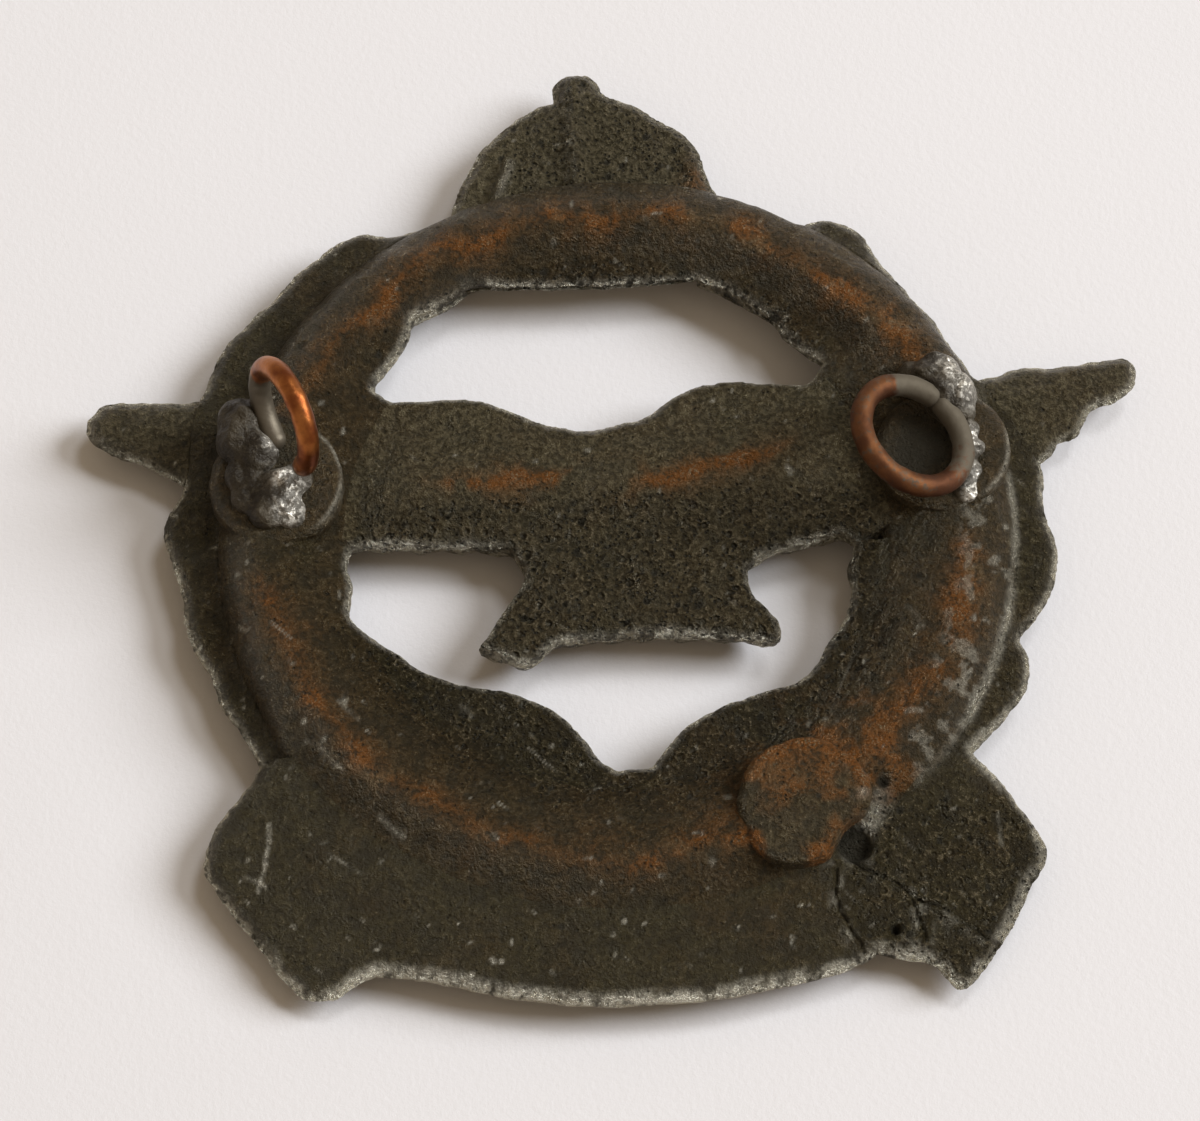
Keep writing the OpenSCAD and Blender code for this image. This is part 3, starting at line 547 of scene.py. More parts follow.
def bronze(name, warm=0.5, dusty=0.5, worn=1.0, grain=1.0, sheen_lift=0.0):
    """Oxidised bronze skin over white metal: olive to brown in clouds, dust on the flats, black in the
    holes, copper on rubbed crests and white metal on the rims and scratches. Painted light as well: the
    last argument lifts the colour towards the dust tone as a painted sheen, tan specks in the grain are
    painted glints, tan rings round the pits are painted highlights, the silver tone also shows painted
    highlights, and the black also shows painted shade under the lug loops."""
    made, tree, where, shader = start(name)
    mark = {key: where.node("ShaderNodeAttribute", {"attribute_name": key}, {}, 2)
            for key in ("edge", "wall", "crest", "deep", "bare_and_glint", "pore")}
    cloud, patch = where.noise(260.0, 4.0), where.noise(950.0, 5.0, 0.6)
    fine, dots = where.noise(3800.0, 5.0, 0.7), where.noise(9500.0, 2.0)
    base = (cloud * 1.4 + (warm - 0.9)).step(0.0, 0.45).mix(OLIVE, BROWN)
    base = ((1 - patch.step(0.34, 0.60)) * 0.75).mix(base, DARK)
    base = ((1 - fine.step(0.36, 0.54)) * 0.85).mix(base, DARK)
    # Dust, plus a painted sheen: the last argument lifts the colour towards the dust tone, most on the crown and wing
    # bar.
    film = (fine.step(0.52, 0.68) * (0.04 + 0.60 * patch.step(0.46, 0.66)) * (0.3 + 0.7 * dusty)
            + sheen_lift * (0.35 + 1.1 * fine.step(0.42, 0.60))).clip()
    base = film.mix(base, DUST_AND_SHEEN)
    # Painted glints: tan specks in the fine grain, more of them where the skin is porous.
    glint_specks = (dots.step(0.60, 0.68) * fine.step(0.50, 0.60) * (0.25 + 0.3 * dusty + 0.6 * mark["pore"])).clip()
    base = glint_specks.mix(base, TAN)
    rub = (mark["crest"] * (0.25 + 1.3 * fine.step(0.36, 0.54)) * (0.45 + patch.step(0.36, 0.56)) * worn).clip()
    tan = (mark["crest"] * dots.step(0.52, 0.62) * patch.step(0.42, 0.58) * 0.9).clip()
    rubbed = cloud.step(0.50, 0.70).mix(COPPER, DULL_COPPER)
    base = tan.mix((rub * 0.85).mix(base, rubbed), TAN)
    zone = (1 - mark["edge"].step(0.02, 0.38)) * (1 - mark["wall"] * 0.15)
    crisp = 1 - mark["edge"].step(0.0, 0.16)
    rim = ((zone * 0.6 + crisp * 0.8) * (patch + 0.25 * (cloud - 0.5)).step(0.40, 0.56)
           * fine.step(0.34, 0.56) * worn).clip()
    # The silver tone shows white metal and also the painted highlights that the mark for exposed metal carries: the
    # rib's right flank, the crack lips, the feet's right edges, the crown's slanting ridge and the right-hand rims.
    silver = (rim * 0.8 + mark["bare_and_glint"] * (0.38 + 0.75 * fine.step(0.36, 0.58))).clip()
    base = silver.mix(base, SILVER)
    cell = where.cells(3300.0)
    pits = (1 - cell.step(0.12, 0.30)) * (where.noise(1500.0, 2.0) + mark["pore"] * 0.45).step(0.62, 0.72)
    coarse = where.cells(1700.0)
    pitted = mark["pore"].step(0.30, 0.75) * patch.step(0.40, 0.55)
    craters = (1 - coarse.step(0.10, 0.34)) * pitted
    # Painted highlights: tan rings round the larger pits, for light catching their lips.
    halo = coarse.step(0.34, 0.40) * (1 - coarse.step(0.44, 0.54)) * pitted * fine.step(0.45, 0.6)
    base = (halo * 0.40).mix(base, TAN)
    # Near black in blow holes and pits, and painted shade under the lug loops, which reaches here through the mark
    # "deep".
    holes_and_shade = (mark["deep"].step(0.15, 0.75) + pits + craters * 0.6).clip()
    base = (holes_and_shade * 0.9).mix(base, HOLE_AND_SHADE)
    metal = (0.12 + 0.45 * rub + 0.65 * silver).clip() * (1 - holes_and_shade)
    rough = (0.30 - 0.02 * rub - 0.08 * silver + 0.35 * (0.5 - patch) + 0.3 * holes_and_shade).clip()
    grainy = 0.7 + mark["pore"] * 0.9
    height = fine * grainy * 1.2 + dots * 0.35 - pits * 1.2 - craters * 1.5 + patch * grainy
    shader.inputs["Specular IOR Level"].default_value = 0.46
    shader.inputs["Specular Tint"].default_value = (1.0, 0.90, 0.68, 1)
    finish_material(tree, shader, where, base, rough, metal, height, 0.85 * grain, 0.00030)
    return made


casting("back_ring_casting", [ring_edge], [ring_bore, top_opening, low_opening], ring_top, level(Z_RING),
        bronze("bronzed_ring", 0.6, 0.6, 1.0, 1.5, 0.05), ["back_ring"],
        pitch=0.135, rows=3, bulge=0.05)

# ---------------------------------------------------------------- wreath halves
# Two thin cast plates under the ring, cut to leaves round the outside and to two broad lobes inside the
# lower opening. They are soldered to the ring's front; the leaves and a plain circlet show in front.
bird_bay = np.vstack([ring_arc(RING_IN + 0.5, -3.6, 178.5), [(-9.0, -2.0), (-8.4, -4.5), (-8.1, -7.2), (-5.2, -8.3),
                                                        (0, -7.6), (8.0, -7.7), (8.4, -4.2), (9.6, -2.6),
                                                        (11.8, -1.95)]])
left_half = np.array([(-30, -30), (0, -30), (0, 30), (-30, 30)], float)
right_half = -left_half


Z_UNDER_RING = 2.38


def wreath_top(x, y):
    """Lobes carry on the ring's inner slope; under the ring the plate is flat; outside it is the flange."""
    r = polar(x, y)[0]
    rough, deep = skin(x, y)
    flange = (2.46 - 0.03 * (r - RING_OUT) + 0.22 * np.exp(-((r - RING_OUT) / 0.35) ** 2)
              + 0.12 * lumps(51, x, y, 1.6) + 0.8 * rough - lip(x, y, 0.6, 0.4))
    lobe = inner_height(x, y) + rough - lip(x, y) - 0.3 * np.clip(r - RING_IN, 0, 1)
    z = np.where(r < RING_IN + 0.4, lobe, np.where(r < RING_OUT - 0.6, Z_UNDER_RING, flange))
    hole = blow_hole(x, y)
    return z, 0.6 * wear(x, y, z) * (r < RING_IN), np.maximum(deep, hole), scraped_and_highlights(x, y) * (1 - hole)


def wreath_under(x, y):
    """Front: circlet raised 0.5, leaves as slanting waves raised up to 0.7, veins on the lobes."""
    r, a = polar(x, y)
    band = 0.5 * smooth(14.4, 14.6, r) * (1 - smooth(17.5, 17.7, r))
    side = np.where(x < RING_X, 1, -1)
    wave = np.cos(2 * np.pi * (a / 7.6 + side * (r - 19.9) * 0.32))
    leaf = (0.42 + 0.28 * wave) * smooth(18.0, 18.3, r)
    vein = (0.25 + 0.10 * np.cos(4.2 * (x + side * y))) * (1 - smooth(13.0, 13.4, r))
    return bevelled(x, y, Z_PLATE - band - leaf - vein, 0.55, 1.0)


for side, half in (("left", left_half), ("right", right_half)):
    casting("wreath_" + side + "_casting", [wreath_loop, half], [top_opening, low_opening, crown_loop, bird_bay],
            wreath_top, wreath_under,
            bronze("bronzed_wreath_" + side, 0.3, 0.6 if side == "left" else 0.9, 1.0, 1.5, 0.03),
            ["wreath_" + side], pitch=0.12)

# ---------------------------------------------------------------- bird
# One casting from wing tip to wing tip with the tail hanging into the lower opening. The wings pass in
# front of the ring, so only the bar inside it and the two tips show from behind.


Z_UNDER_WREATH = 1.66


def bird_top(x, y):
    """Wing bar and tail inside the ring, flat where the ring covers it, low ridged tips outside."""
    r = polar(x, y)[0]
    rough, deep = skin(x, y)
    bar = inner_height(x, y) + rough - lip(x, y, 0.6, 0.45) - 0.3 * np.clip(r - RING_IN, 0, 1)
    centre = np.where(x < 0, 6.6 + 0.02 * (x + 20), 5.9 + 0.16 * (x - 21))
    tip = 2.12 + 0.22 * np.exp(-((y - centre) / 1.1) ** 2) + rough - lip(x, y, 0.7, 0.55)
    tip = Z_UNDER_WREATH + (tip - Z_UNDER_WREATH) * smooth(19.4, 20.4, r)
    inside = reach(x, y, bird_bay)[0] > -1e-6
    z = np.where(inside, bar, np.where(r < 20.0, np.minimum(tip, 1.9), tip))
    z = np.where(~inside & (r < 19.4), Z_UNDER_WREATH, z)
    return z, wear(x, y, z), deep, scraped_and_highlights(x, y)


def bird_under(x, y):
    """Front: slanting feathers over each wing, a rounded leading edge, a fanned tail and a domed breast."""
    feather = 0.28 + 0.20 * np.cos(2 * np.pi * (np.abs(x) + 0.42 * y) / 1.9)
    lead = 0.35 * np.maximum(stroke(x, y, (1.8, 3.9), (24, 7.1), 0.8), stroke(x, y, (-1.8, 3.9), (-24, 7.1), 0.8))
    breast = 0.55 * spot(x, y, 0, 0.8, 2.6, 3.2)
    return bevelled(x, y, np.maximum(Z_FRONT - feather - lead - breast, 0.02), 1.1)


casting("bird_casting", [bird_loop], [], bird_top, bird_under, bronze("bronzed_bird", 0.5, 0.9, 1.0, 1.6, 0.42),
        ["bird"], pitch=0.12)

# ---------------------------------------------------------------- crown
# A domed casting behind the top of the ring, with a tall ridge down from the knob and a short slanting
# one at the left. The front has a plain band, five arches and small round studs.


def crown_top(x, y):
    """A low dome with the tall ridge and two short slanting ones, flat where the ring covers it."""
    r = polar(x, y)[0]
    rough, deep = skin(x, y)
    dome = 0.28 * spot(x, y, -1.0, 19.0, 5.2, 4.5)
    ridge = 0.62 * stroke(x, y, (-1.05, 17.0), (-1.0, 24.4), 0.68)
    slant = 0.45 * stroke(x, y, (-5.3, 17.9), (-4.5, 20.1), 0.38) + 0.25 * stroke(x, y, (4.6, 17.4), (4.9, 19.8), 0.4)
    z = 2.42 + dome + ridge + slant + rough - lip(x, y, 0.55, 0.4)
    z = np.where(r < RING_OUT - 0.6, Z_UNDER_RING, z)
    return z, wear(x, y, z) + 0.35 * spot(x, y, 4.9, 18.6, 0.7, 1.2), deep, scraped_and_highlights(x, y)


def crown_under(x, y):
    """Front: band raised to the rest plane, arches as ribs that meet under the knob."""
    r = polar(x, y)[0]
    band = 0.88 * smooth(16.2, 16.5, r) * (1 - smooth(19.4, 19.7, r))
    arches = 0 * x
    for k in (-5.6, -2.8, 0, 2.8, 5.6):
        arches = np.maximum(arches, 0.6 * stroke(x, y, (-0.9 + 0.95 * k, 18.0), (-1 + 0.45 * k, 23.4), 0.55))
    studs = 0.6 * np.max([spot(x, y, -0.9 + k, 14.7, 0.6) for k in (-5, -2.5, 0, 2.5, 5)], axis=0)
    return bevelled(x, y, np.maximum(Z_FRONT - np.maximum(np.maximum(band, arches), studs), 0.02), 1.6, 1.3)


casting("crown_casting", [crown_loop], [top_opening], crown_top, crown_under,
        bronze("bronzed_crown", 0.3, 1.2, 1.0, 1.7, 0.75),
        ["crown"], pitch=0.11)

# ---------------------------------------------------------------- scroll
# A band across the foot and two folded ends, each its own casting, soldered under the wreath. The joint
# with the right-hand end has opened into cracks; the left-hand joint is filled.
seam_left = [(-13.1, -23.0), (-11.6, -18.6)]
seam_right = [(11.1, -23.2), (10.0, -19.2)]
left_zone = np.array([(-30, -30), (-15.1, -30), seam_left[0], seam_left[1], (-9.7, -12), (-30, -8)], float)
right_zone = np.array([(30, -30), (13, -30), seam_right[0], seam_right[1], (8.2, -12), (30, -8)], float)
band_zone = np.array([(-15.1, -30), seam_left[0], seam_left[1], (-9.7, -12), (8.2, -12), seam_right[1],
                      seam_right[0], (13, -30)], float)


def scroll_top(x, y):
    """Slopes from the rib down to the rim, steeper at the notches, with the open cracks at the right and
    painted highlights on their raised lips.
    """
    r, a = polar(x, y)
    rough, deep = skin(x, y)
    low = smooth(203, 214, a) * (1 - smooth(316, 330, a))
    out = r - RING_OUT
    z = (2.46 - 0.02 * out) * (1 - low) + (3.15 - 0.17 * out - 0.6 * np.clip(-out, 0, 1)) * low
    u, v = x + 0.4 * lumps(63, x, y, 1.2) + 0.12 * lumps(65, x, y, 0.4), y + 0.4 * lumps(64, x, y, 1.2)
    crack, swell = 0 * x, 0 * x
    for p, q in (((9.3, -19.4), (9.4, -21.4)), ((9.4, -21.4), (10.5, -23.3)), ((10.1, -18.7), (13.1, -20.7)),
                 ((13.1, -20.7), (14.9, -21.9)), ((14.9, -21.9), (16.4, -22.9)), ((13.1, -20.9), (13.6, -22.8))):
        crack = np.maximum(crack, stroke(u, v, p, q, 0.09))
        swell = np.maximum(swell, stroke(u, v, p, q, 0.40))
    crack = crack * smooth(-0.5, -0.15, lumps(61, x, y, 1.0))
    hole = spot(x, y, 12.1, -22.3, 0.22) + blow_hole(x, y)
    ripple = 0.22 * lumps(62, x + 0.6 * y, y * 0.5, 0.9) * smooth(9, 11, x)
    z = z + rough + ripple - lip(x, y, 0.6, 0.5) + 0.24 * swell - 0.30 * crack - 0.8 * hole
    z = np.where(r < RING_OUT - 0.6, Z_UNDER_WREATH, z)
    # Painted highlight along the raised lips beside the cracks.
    glint = 0.45 * np.clip(swell - 1.6 * crack, 0, 1) * smooth(0.05, 0.3, lumps(66, x, y, 0.5))
    return z, 0.4 * wear(x, y, z), np.clip(np.maximum(deep, 0.45 * crack) + hole, 0, 1), scraped_and_highlights(x, y) + glint


def scroll_under(x, y):
    """Front: blank ribbon raised 0.6 with a rim above and below raised to the rest plane."""
    r = polar(x, y)[0]
    ribbon = 0.6 * smooth(17.1, 17.3, r) * (1 - smooth(23.1, 23.3, r))
    rims = 0.28 * (smooth(17.1, 17.3, r) * (1 - smooth(17.9, 18.1, r))
                   + smooth(22.3, 22.5, r) * (1 - smooth(23.1, 23.3, r)))
    return bevelled(x, y, np.maximum(Z_FRONT - (ribbon + rims) * (np.abs(x) < 13), 0.02), 0.6, 0.9)


for name, zone in (("scroll_band", band_zone), ("scroll_end_left", left_zone), ("scroll_end_right", right_zone)):
    casting(name + "_casting", [scroll_loop, zone], [], scroll_top, scroll_under,
            bronze("bronzed_" + name, 0.22, 0.6 if "right" in name else 0.1, 1.0, 1.2),
            [name], pitch=0.12, rows=5)

# ---------------------------------------------------------------- feet of the two lugs
# A round bronze disc each, soldered to the inner slope of the rib at either end of the wing bar. Most of
# it is under solder, and its rim shows as an arc on the right, with a painted highlight along it.


def mound(name, rim, z_low, top, material, nodes, bulge=0.10, rings=30):
    """Closed lump over a rim line: flat below, a bulging wall, then rings of the rim drawn in towards its
    middle at heights top(x, y); the middles of both faces are single points."""
    mid, n = rim.mean(axis=0), len(rim)
    inward = np.linspace(0, 1, rings + 1)[1:-1] ** 1.4
    scale = np.concatenate([[0.5, 1.0, 1 + bulge, 1 + bulge, 1.0], 1 - inward])
    share = np.concatenate([[0, 0, 0.35, 0.7, 1.0], np.ones(rings - 1)])
    x = mid[0] + np.outer(scale, rim[:, 0] - mid[0])
    y = mid[1] + np.outer(scale, rim[:, 1] - mid[1])
    height, crest, deep, bare_and_glint = top(x.ravel(), y.ravel())
    z = z_low + (height - z_low) * np.repeat(share, n)
    middle, c, d, b = top(mid[:1], mid[1:])
    points = np.vstack([np.stack([x.ravel(), y.ravel(), z], 1), [[mid[0], mid[1], z_low],
                                                                  [mid[0], mid[1], middle[0]]]])
    k = np.arange(n)
    nxt = (k + 1) % n
    faces = [[len(points) - 2, j, i] for i, j in zip(k, nxt)]
    for row in range(len(scale) - 1):
        faces += np.stack([row * n + k, row * n + nxt, (row + 1) * n + nxt, (row + 1) * n + k], 1).tolist()
    last = (len(scale) - 1) * n
    faces += [[last + i, last + j, len(points) - 1] for i, j in zip(k, nxt)]
    marks = {"edge": np.full(len(points), 1.4),
             "wall": np.concatenate([np.repeat((share > 0) & (share < 1), n), [0, 0]]),
             "crest": np.concatenate([crest, [0, c[0]]]), "deep": np.concatenate([deep, [0, d[0]]]),
             "bare_and_glint": np.concatenate([bare_and_glint, [0, b[0]]]), "pore": np.full(len(points), 0.2)}
    return mesh_piece(name, points, faces, material, nodes, marks)


def circle(x, y, r, seed, steps=120):
    """A slightly uneven circle."""
    a = np.radians(np.arange(steps) * 360 / steps)
    return ragged(np.stack([x + r * np.cos(a), y + r * np.sin(a)], axis=1), seed, 0.05)


FOOT_LEFT_X, FOOT_RIGHT_X, FOOT_R = -16.9, 16.2, 3.3


def foot_top(x, y):
    """Top tilted up to the right, with a rounded edge and the same cast skin; a painted highlight arc along
    the right edge, and painted shade under the two lug loops.
    """
    at = np.where(x < 0, FOOT_LEFT_X, FOOT_RIGHT_X)
    off = np.hypot(x - at, y - 2.25)
    rough, deep = skin(x, y)
    z = 4.42 + 0.075 * (x - at) + 0.7 * rough - 0.30 * smooth(2.7, 3.4, off) ** 2
    # Painted highlight: a light arc along the foot's right edge, where the light from the right catches it.
    arc = np.exp(-((off - 3.2) / 0.10) ** 2) * smooth(-0.3, 0.1, lumps(81, x, y, 1.2)) * smooth(1.2, 2.6, x - at)
    # Painted shade on both feet under the lug loops, drawn near black through the mark for blow holes.
    loop_shade_and_holes = 0.9 * spot(x, y, 15.0, 2.2, 2.0) + 0.5 * spot(x, y, -16.6, 3.6, 1.2)
    return z, 0 * x, np.maximum(0.6 * deep, loop_shade_and_holes), 0.5 * arc


mound("lug_foot_left_disc", circle(FOOT_LEFT_X, 2.3, FOOT_R, 82), 2.9, foot_top,
      bronze("bronzed_foot_left", 0.6, 0.6),
      ["lug_foot_left"], 0.02)
mound("lug_foot_right_disc", circle(FOOT_RIGHT_X, 2.2, FOOT_R, 83), 2.9, foot_top,
      bronze("bronzed_foot_right", 0.6, 0.4),
      ["lug_foot_right"], 0.02)

# ---------------------------------------------------------------- lug loops
# Two eyes bent from copper wire. The left one stands nearly upright with an open joint low down; the
# right one has leaned over the wing and its joint is buried in solder.


WIRE_R, WIRE_END = 0.56, 0.5


def wire(name, at, across, along, start_deg, end_deg, material, nodes, tin):
    """Bent wire: circles of radius WIRE_R carried along at + across cos a + along sin a, a little uneven,
    with rounded ends; tin(a) says how much solder covers it."""
    a = np.radians(np.linspace(start_deg, end_deg, 150))[:, None]
    at, across, along = (np.array(v, float) for v in (at, across, along))
    path = at + across * np.cos(a) + along * np.sin(a)
    flow = -across * np.sin(a) + along * np.cos(a)
    flow /= np.linalg.norm(flow, axis=1)[:, None]
    normal = np.cross(across, along)
    normal /= np.linalg.norm(normal)
    side = np.cross(flow, normal)
    size = WIRE_R + 0.035 * lumps(91, a[:, 0] * 2.6, a[:, 0] * 0, 0.5)
    cap = np.radians([90, 70, 45, 20])
    path = np.vstack([path[0] - flow[0] * WIRE_END * np.sin(cap)[:, None], path,
                      path[-1] + flow[-1] * WIRE_END * np.sin(cap[::-1])[:, None]])
    side = np.vstack([[side[0]] * 4, side, [side[-1]] * 4])
    size = np.concatenate([size[0] * np.maximum(np.cos(cap), 0.02), size,
                           size[-1] * np.maximum(np.cos(cap[::-1]), 0.02)])
    turn = np.radians(np.arange(40) * 9)
    n, m = len(path), len(turn)
    ring = side[:, None, :] * np.cos(turn)[None, :, None] + normal * np.sin(turn)[None, :, None]
    swell = 1 + 0.05 * lumps(92, np.repeat(np.arange(n) * 0.09, m), np.tile(np.cos(turn), n), 0.4).reshape(n, m)
    points = (path[:, None, :] + ring * (size[:, None] * swell)[:, :, None]).reshape(-1, 3)
    points = np.vstack([points, path[0], path[-1]])
    i, j = np.meshgrid(np.arange(n - 1), np.arange(m), indexing="ij")
    i, j = i.ravel(), j.ravel()
    k = (j + 1) % m
    faces = np.stack([i * m + j, i * m + k, (i + 1) * m + k, (i + 1) * m + j], 1).tolist()
    first, last = n * m, n * m + 1
    j, k = np.arange(m), (np.arange(m) + 1) % m
    faces += [[first, q, p] for p, q in zip(j, k)] + [[last, (n - 1) * m + p, (n - 1) * m + q] for p, q in zip(j, k)]
    degrees = np.concatenate([[start_deg] * 4, np.degrees(a[:, 0]), [end_deg] * 4])
    amount = np.concatenate([np.repeat(tin(degrees), m), [tin(start_deg), tin(end_deg)]])
    return mesh_piece(name, points, faces, material, nodes, {"tin": amount})


RED_COPPER, BRIGHT_COPPER = (0.17, 0.045, 0.012, 1), (0.40, 0.140, 0.036, 1)
OXIDE, TINNED = (0.055, 0.030, 0.018, 1), (0.125, 0.103, 0.073, 1)


def copper_wire(name, bright):
    """Drawn copper with brown oxide in patches, and grey solder where the wire was tinned."""
    made, tree, where, shader = start(name)
    tin = where.node("ShaderNodeAttribute", {"attribute_name": "tin"}, {}, 2)
    cloud, fine = where.noise(700.0, 4.0), where.noise(3600.0, 4.0, 0.6)
    base = cloud.step(0.35, 0.65).mix(RED_COPPER, BRIGHT_COPPER)
    base = (fine.step(0.55, 0.75) * 0.35 + (1 - bright) * 0.8).clip().mix(base, OXIDE)
    cover = ((tin * 1.6 + fine * 0.9 + cloud * 0.6 - 1.25) * 3).clip()
    base = cover.mix(base, TINNED)
    rough = (0.30 + 0.16 * fine + 0.14 * cover + 0.25 * (1 - bright)).clip()
    metal = (0.95 - 0.25 * cover).clip()
    finish_material(tree, shader, where, base, rough, metal, fine + cloud * 2, 0.35, 0.00006)
    return made


def tin_left(a):
    """Solder on the left wire at angle a: full beyond 160 degrees and a film on its other end."""
    return smooth(110, 160, np.asarray(a, float)) + smooth(50, 75, -np.asarray(a, float)) * 0.7


def tin_right(a):
    """Solder on the right wire at angle a: full at both ends and a trace all round."""
    a = np.asarray(a, float)
    return smooth(345, 372, a) + (1 - smooth(75, 110, a)) + 0.25 * smooth(290, 330, a) + 0.28


wire("lug_loop_left_wire", (-16.3, 4.3, 7.3), (1.1, -1.59, 1.885), (-0.4, 1.815, 1.765), -66, 222,
     copper_wire("copper_loop_left", 1.0), ["lug_loop_left"], tin_left)
wire("lug_loop_right_wire", (14.55, 2.0, 6.4), (2.52, 0.30, -1.30), (-0.42, 2.85, -0.17), 54, 400,
     copper_wire("copper_loop_right", 0.08), ["lug_loop_right"], tin_right)

# ---------------------------------------------------------------- solder
# Soft solder run over each foot and up the wire, in lumps that melted into one another: dull grey and
# dirty, with bright spots of painted highlight, mostly on the sides facing the light from the right.


SMOKE, LEAD = (0.016, 0.011, 0.006, 1), (0.046, 0.035, 0.021, 1)
# The light tin tone is used only for painted highlights on the solder.
ASH, TIN_GLINT = (0.11, 0.09, 0.06, 1), (0.60, 0.56, 0.49, 1)


def solder(name):
    """Dark smoky solder in clouds with ash in its grain; a light tin tone as painted highlight where the mark
    for exposed metal and glints is high.
    """
    made, tree, where, shader = start(name)
    cloud, fine = where.noise(650.0, 4.0, 0.6), where.noise(3800.0, 4.0, 0.65)
    bare_and_glint = where.node("ShaderNodeAttribute", {"attribute_name": "bare_and_glint"}, {}, 2)
    base = cloud.step(0.38, 0.62).mix(SMOKE, LEAD)
    base = (fine.step(0.52, 0.7) * 0.45).mix(base, ASH)
    shine = (bare_and_glint * (0.30 + 1.2 * (fine + 0.5 * (cloud - 0.5)).step(0.45, 0.62))).clip()
    base = shine.mix(base, TIN_GLINT)
    metal = (0.05 + 0.8 * shine).clip()
    rough = (0.45 - 0.15 * shine + 0.35 * (fine - 0.5)).clip()
    shader.inputs["Specular IOR Level"].default_value = 0.32
    shader.inputs["Specular Tint"].default_value = (1.0, 0.94, 0.84, 1)
    finish_material(tree, shader, where, base, rough, metal, fine * 0.8 + cloud * 3.0, 0.8, 0.00020)
    return made


def blob_piece(name, blobs, z_low, bright, material, nodes):
    """Half-sunk balls (x, y, z, r) run together: height is their soft maximum, and the rim is where each
    direction from the middle last meets it."""
    blobs = np.array(blobs)

    def height(x, y):
        total = np.zeros(x.shape)
        for bx, by, bz, br in blobs:
            d2 = (x - bx) ** 2 + (y - by) ** 2
            ball = np.where(d2 < br**2, bz + np.sqrt(np.maximum(br**2 - d2, 0)), bz - 3 * (np.sqrt(d2) - br))
            total = total + np.exp(np.clip(5.0 * (ball - z_low), -30, 30))
        return z_low + np.log(total + 1e-9) / 5.0

    mid = blobs[:, :2].mean(axis=0)
    a = np.radians(np.arange(150) * 2.4)
    r = np.linspace(0.05, 5.5, 240)
    gx, gy = mid[0] + np.outer(r, np.cos(a)), mid[1] + np.outer(r, np.sin(a))
    solid = height(gx, gy) > z_low + 0.9
    reach_out = r[len(r) - 1 - np.argmax(solid[::-1], axis=0)]
    for _ in range(3):
        reach_out = (np.roll(reach_out, 1) + 2 * reach_out + np.roll(reach_out, -1)) / 4
    rim = np.stack([mid[0] + reach_out * np.cos(a), mid[1] + reach_out * np.sin(a)], axis=1)

    def top(x, y):
        z = height(x, y) + 0.34 * lumps(101, x, y, 0.8) + 0.26 * lumps(102, x, y, 0.35)
        # The spots listed in bright are painted highlights on the solder, fed to the mark for exposed metal and
        # glints.
        glint = 0 * x
        for gx, gy, size in bright:
            glint = np.maximum(glint, spot(x, y, gx, gy, size))
        return np.maximum(z, z_low + 0.3), 0 * x, 0 * x, glint

    return mound(name, rim, z_low, top, material, nodes, 0.03, 44)


# In each call the last list of spots gives painted highlights, mostly on the sides facing the light from the right.
blob_piece("solder_left_lumps",
           [(-18.5, 5.5, 4.5, 1.2), (-18.6, 4.4, 4.4, 1.2), (-17.8, 3.7, 4.5, 1.1), (-18.5, 2.6, 4.0, 1.1),
            (-18.3, 1.4, 3.9, 1.1), (-17.4, 0.6, 4.0, 1.1), (-16.7, 1.7, 4.1, 1.2), (-16.2, 0.4, 4.0, 1.0),
            (-15.9, 2.2, 4.3, 0.9)],
           3.7, [(-16.4, 2.2, 0.7), (-15.9, 1.2, 0.65), (-16.3, 0.4, 0.6), (-17.1, 5.0, 0.5), (-17.1, 3.9, 0.4)],
           solder("solder_lumps_left"), ["solder_left"])
dull_solder = solder("solder_lumps_right")
blob_piece("solder_right_cap",
           [(15.1, 6.0, 4.3, 1.0), (16.1, 5.9, 4.7, 1.25), (16.7, 4.9, 4.8, 1.25), (17.0, 4.0, 4.6, 0.9)],
           3.5, [(17.6, 4.9, 0.8), (16.9, 6.1, 0.7)], dull_solder, ["solder_right"])
blob_piece("solder_right_side",
           [(17.3, 3.0, 4.3, 0.8), (17.5, 1.9, 4.2, 0.8), (17.4, 0.8, 4.1, 0.8), (17.1, -0.2, 4.0, 0.75)],
           3.5, [(17.8, 2.4, 0.6), (17.6, 0.4, 0.6), (17.5, -0.6, 0.5)], dull_solder, ["solder_right"])

# ---------------------------------------------------------------- fixing pad
# A thick egg-shaped pad of bronze soldered on the ring at the lower right, scraped round the rim. A blow
# hole has opened beside it.
pad_rim = ragged(dense(curve([(4.7, -15.9), (5.4, -14.2), (7.1, -13.0), (8.9, -12.9), (10.5, -14.0), (11.3, -15.3),
                              (11.0, -16.6), (10.0, -17.2), (9.5, -18.0), (8.9, -18.9), (7.8, -19.2), (6.5, -19.1),
                              (5.5, -18.4), (4.9, -17.3), (4.7, -15.9)])[:-1]), 111, 0.06)


def pad_top(x, y):
    """Nearly flat, a little higher in the middle, with a rubbed rim."""
    rough, deep = skin(x, y)
    d = reach(x, y, pad_rim)[0]
    z = 4.50 + 0.12 * smooth(0, 2.5, d) + 1.1 * rough - 0.35 * np.clip(1 - d / 0.5, 0, 1) ** 2
    rim = np.exp(-((d - 0.25) / 0.35) ** 2) * smooth(-0.25, 0.1, lumps(112, x, y, 1.3))
    right = smooth(9.4, 10.6, x) * smooth(0.0, 0.3, lumps(113, x, y, 0.7) + 0.2)
    blotch = 0.35 * smooth(0.0, 0.3, lumps(114, x, y, 2.2) + 0.5 * lumps(115, x, y, 0.7))
    return z, np.clip(rim + blotch, 0, 1), deep, np.clip(0.8 * rim * right, 0, 1)


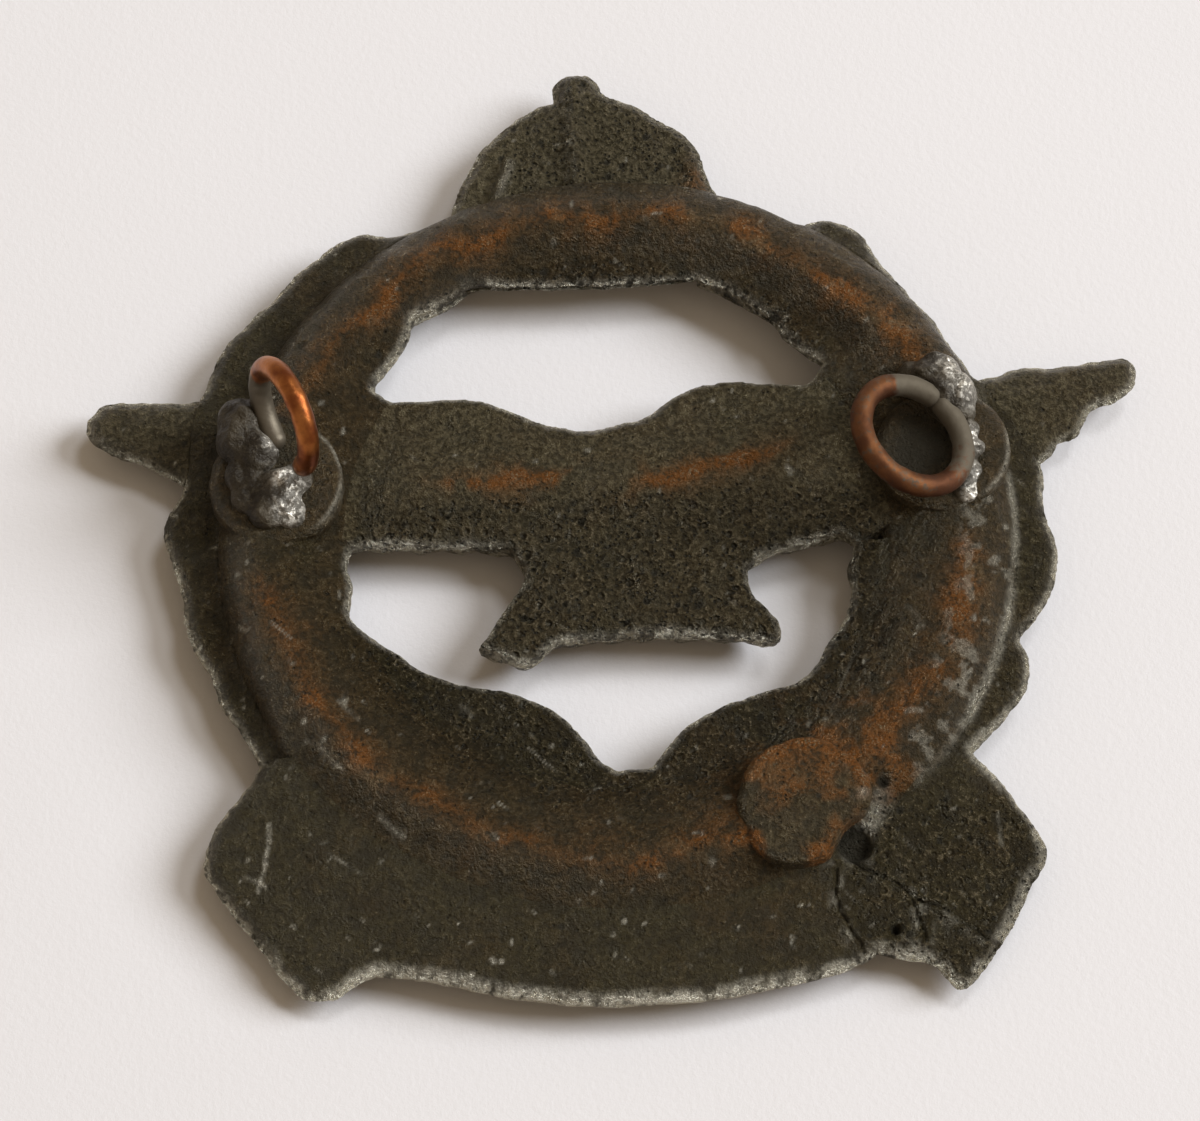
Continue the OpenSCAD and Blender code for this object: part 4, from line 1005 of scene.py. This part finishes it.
mound("fixing_pad_lump", pad_rim, 2.9, pad_top, bronze("worn_pad", 0.6, 0.7, 1.0, 1.3, 0.15),
      ["fixing_pad"], 0.0, 34)

# ---------------------------------------------------------------- table, light and camera
# The badge lies on its front on white paper. A large soft lamp stands far off on the right, and a small
# one above the crown.
bpy.ops.mesh.primitive_grid_add(x_subdivisions=4, y_subdivisions=4, size=3, location=(0, 0, -0.00002))
paper = bpy.context.object
paper.name = "paper"
made, tree, where, shader = start("white_paper")
tone, fibre = where.noise(60.0, 3.0), where.noise(2600.0, 4.0, 0.7)
PAPER, PAPER_SHADE = (0.82, 0.792, 0.802, 1), (0.77, 0.742, 0.747, 1)
finish_material(tree, shader, where, (0.45 * tone + 0.25 * fibre).clip().mix(PAPER, PAPER_SHADE),
                0.85, 0.0, fibre, 0.25, 0.0001)
paper.data.materials.append(made)

world = bpy.data.worlds.new("studio")
bpy.context.scene.world = world
world.use_nodes = True
tree = world.node_tree
rays = tree.nodes.new("ShaderNodeLightPath")
seen = (Sh(tree, rays.outputs["Is Camera Ray"]) + Sh(tree, rays.outputs["Is Transmission Ray"])
        + Sh(tree, rays.outputs["Is Glossy Ray"]) * 0.30).clip()
sky = tree.nodes["Background"]
SKY, BACKDROP = (0.31, 0.25, 0.175, 1), (0.92, 0.90, 0.90, 1)
tree.links.new(seen.mix(SKY, BACKDROP).out, sky.inputs["Color"])

for name, place, size, power, tint in (("key", (1.69, 0.26, 1.25), 1.20, 52.0, (0.90, 0.95, 1.0)),
                                       ("top", (0.35, 0.38, 0.92), 0.30, 2.2, (0.93, 0.97, 1.0))):
    lamp = bpy.data.lights.new(name, "AREA")
    lamp.size, lamp.energy, lamp.color = size, power, tint
    lamp.shape = "DISK"
    held = bpy.data.objects.new(name, lamp)
    held.location = place
    held.rotation_euler = Vector(place).to_track_quat("Z", "Y").to_euler()
    bpy.context.scene.collection.objects.link(held)

aim, eye = Vector((-0.00075, -0.00022, 0)), Vector((-0.00756, -0.1220, 0.2741))
lens = bpy.data.cameras.new("camera")
lens.lens, lens.sensor_width, lens.clip_start = 180, 36, 0.01
lens.shift_x, lens.shift_y = -0.0042, -0.0129
camera = bpy.data.objects.new("camera", lens)
camera.location = eye
camera.rotation_euler = (eye - aim).to_track_quat("Z", "Y").to_euler()
bpy.context.scene.collection.objects.link(camera)
bpy.context.scene.camera = camera
bpy.context.scene.view_settings.view_transform = "Standard"
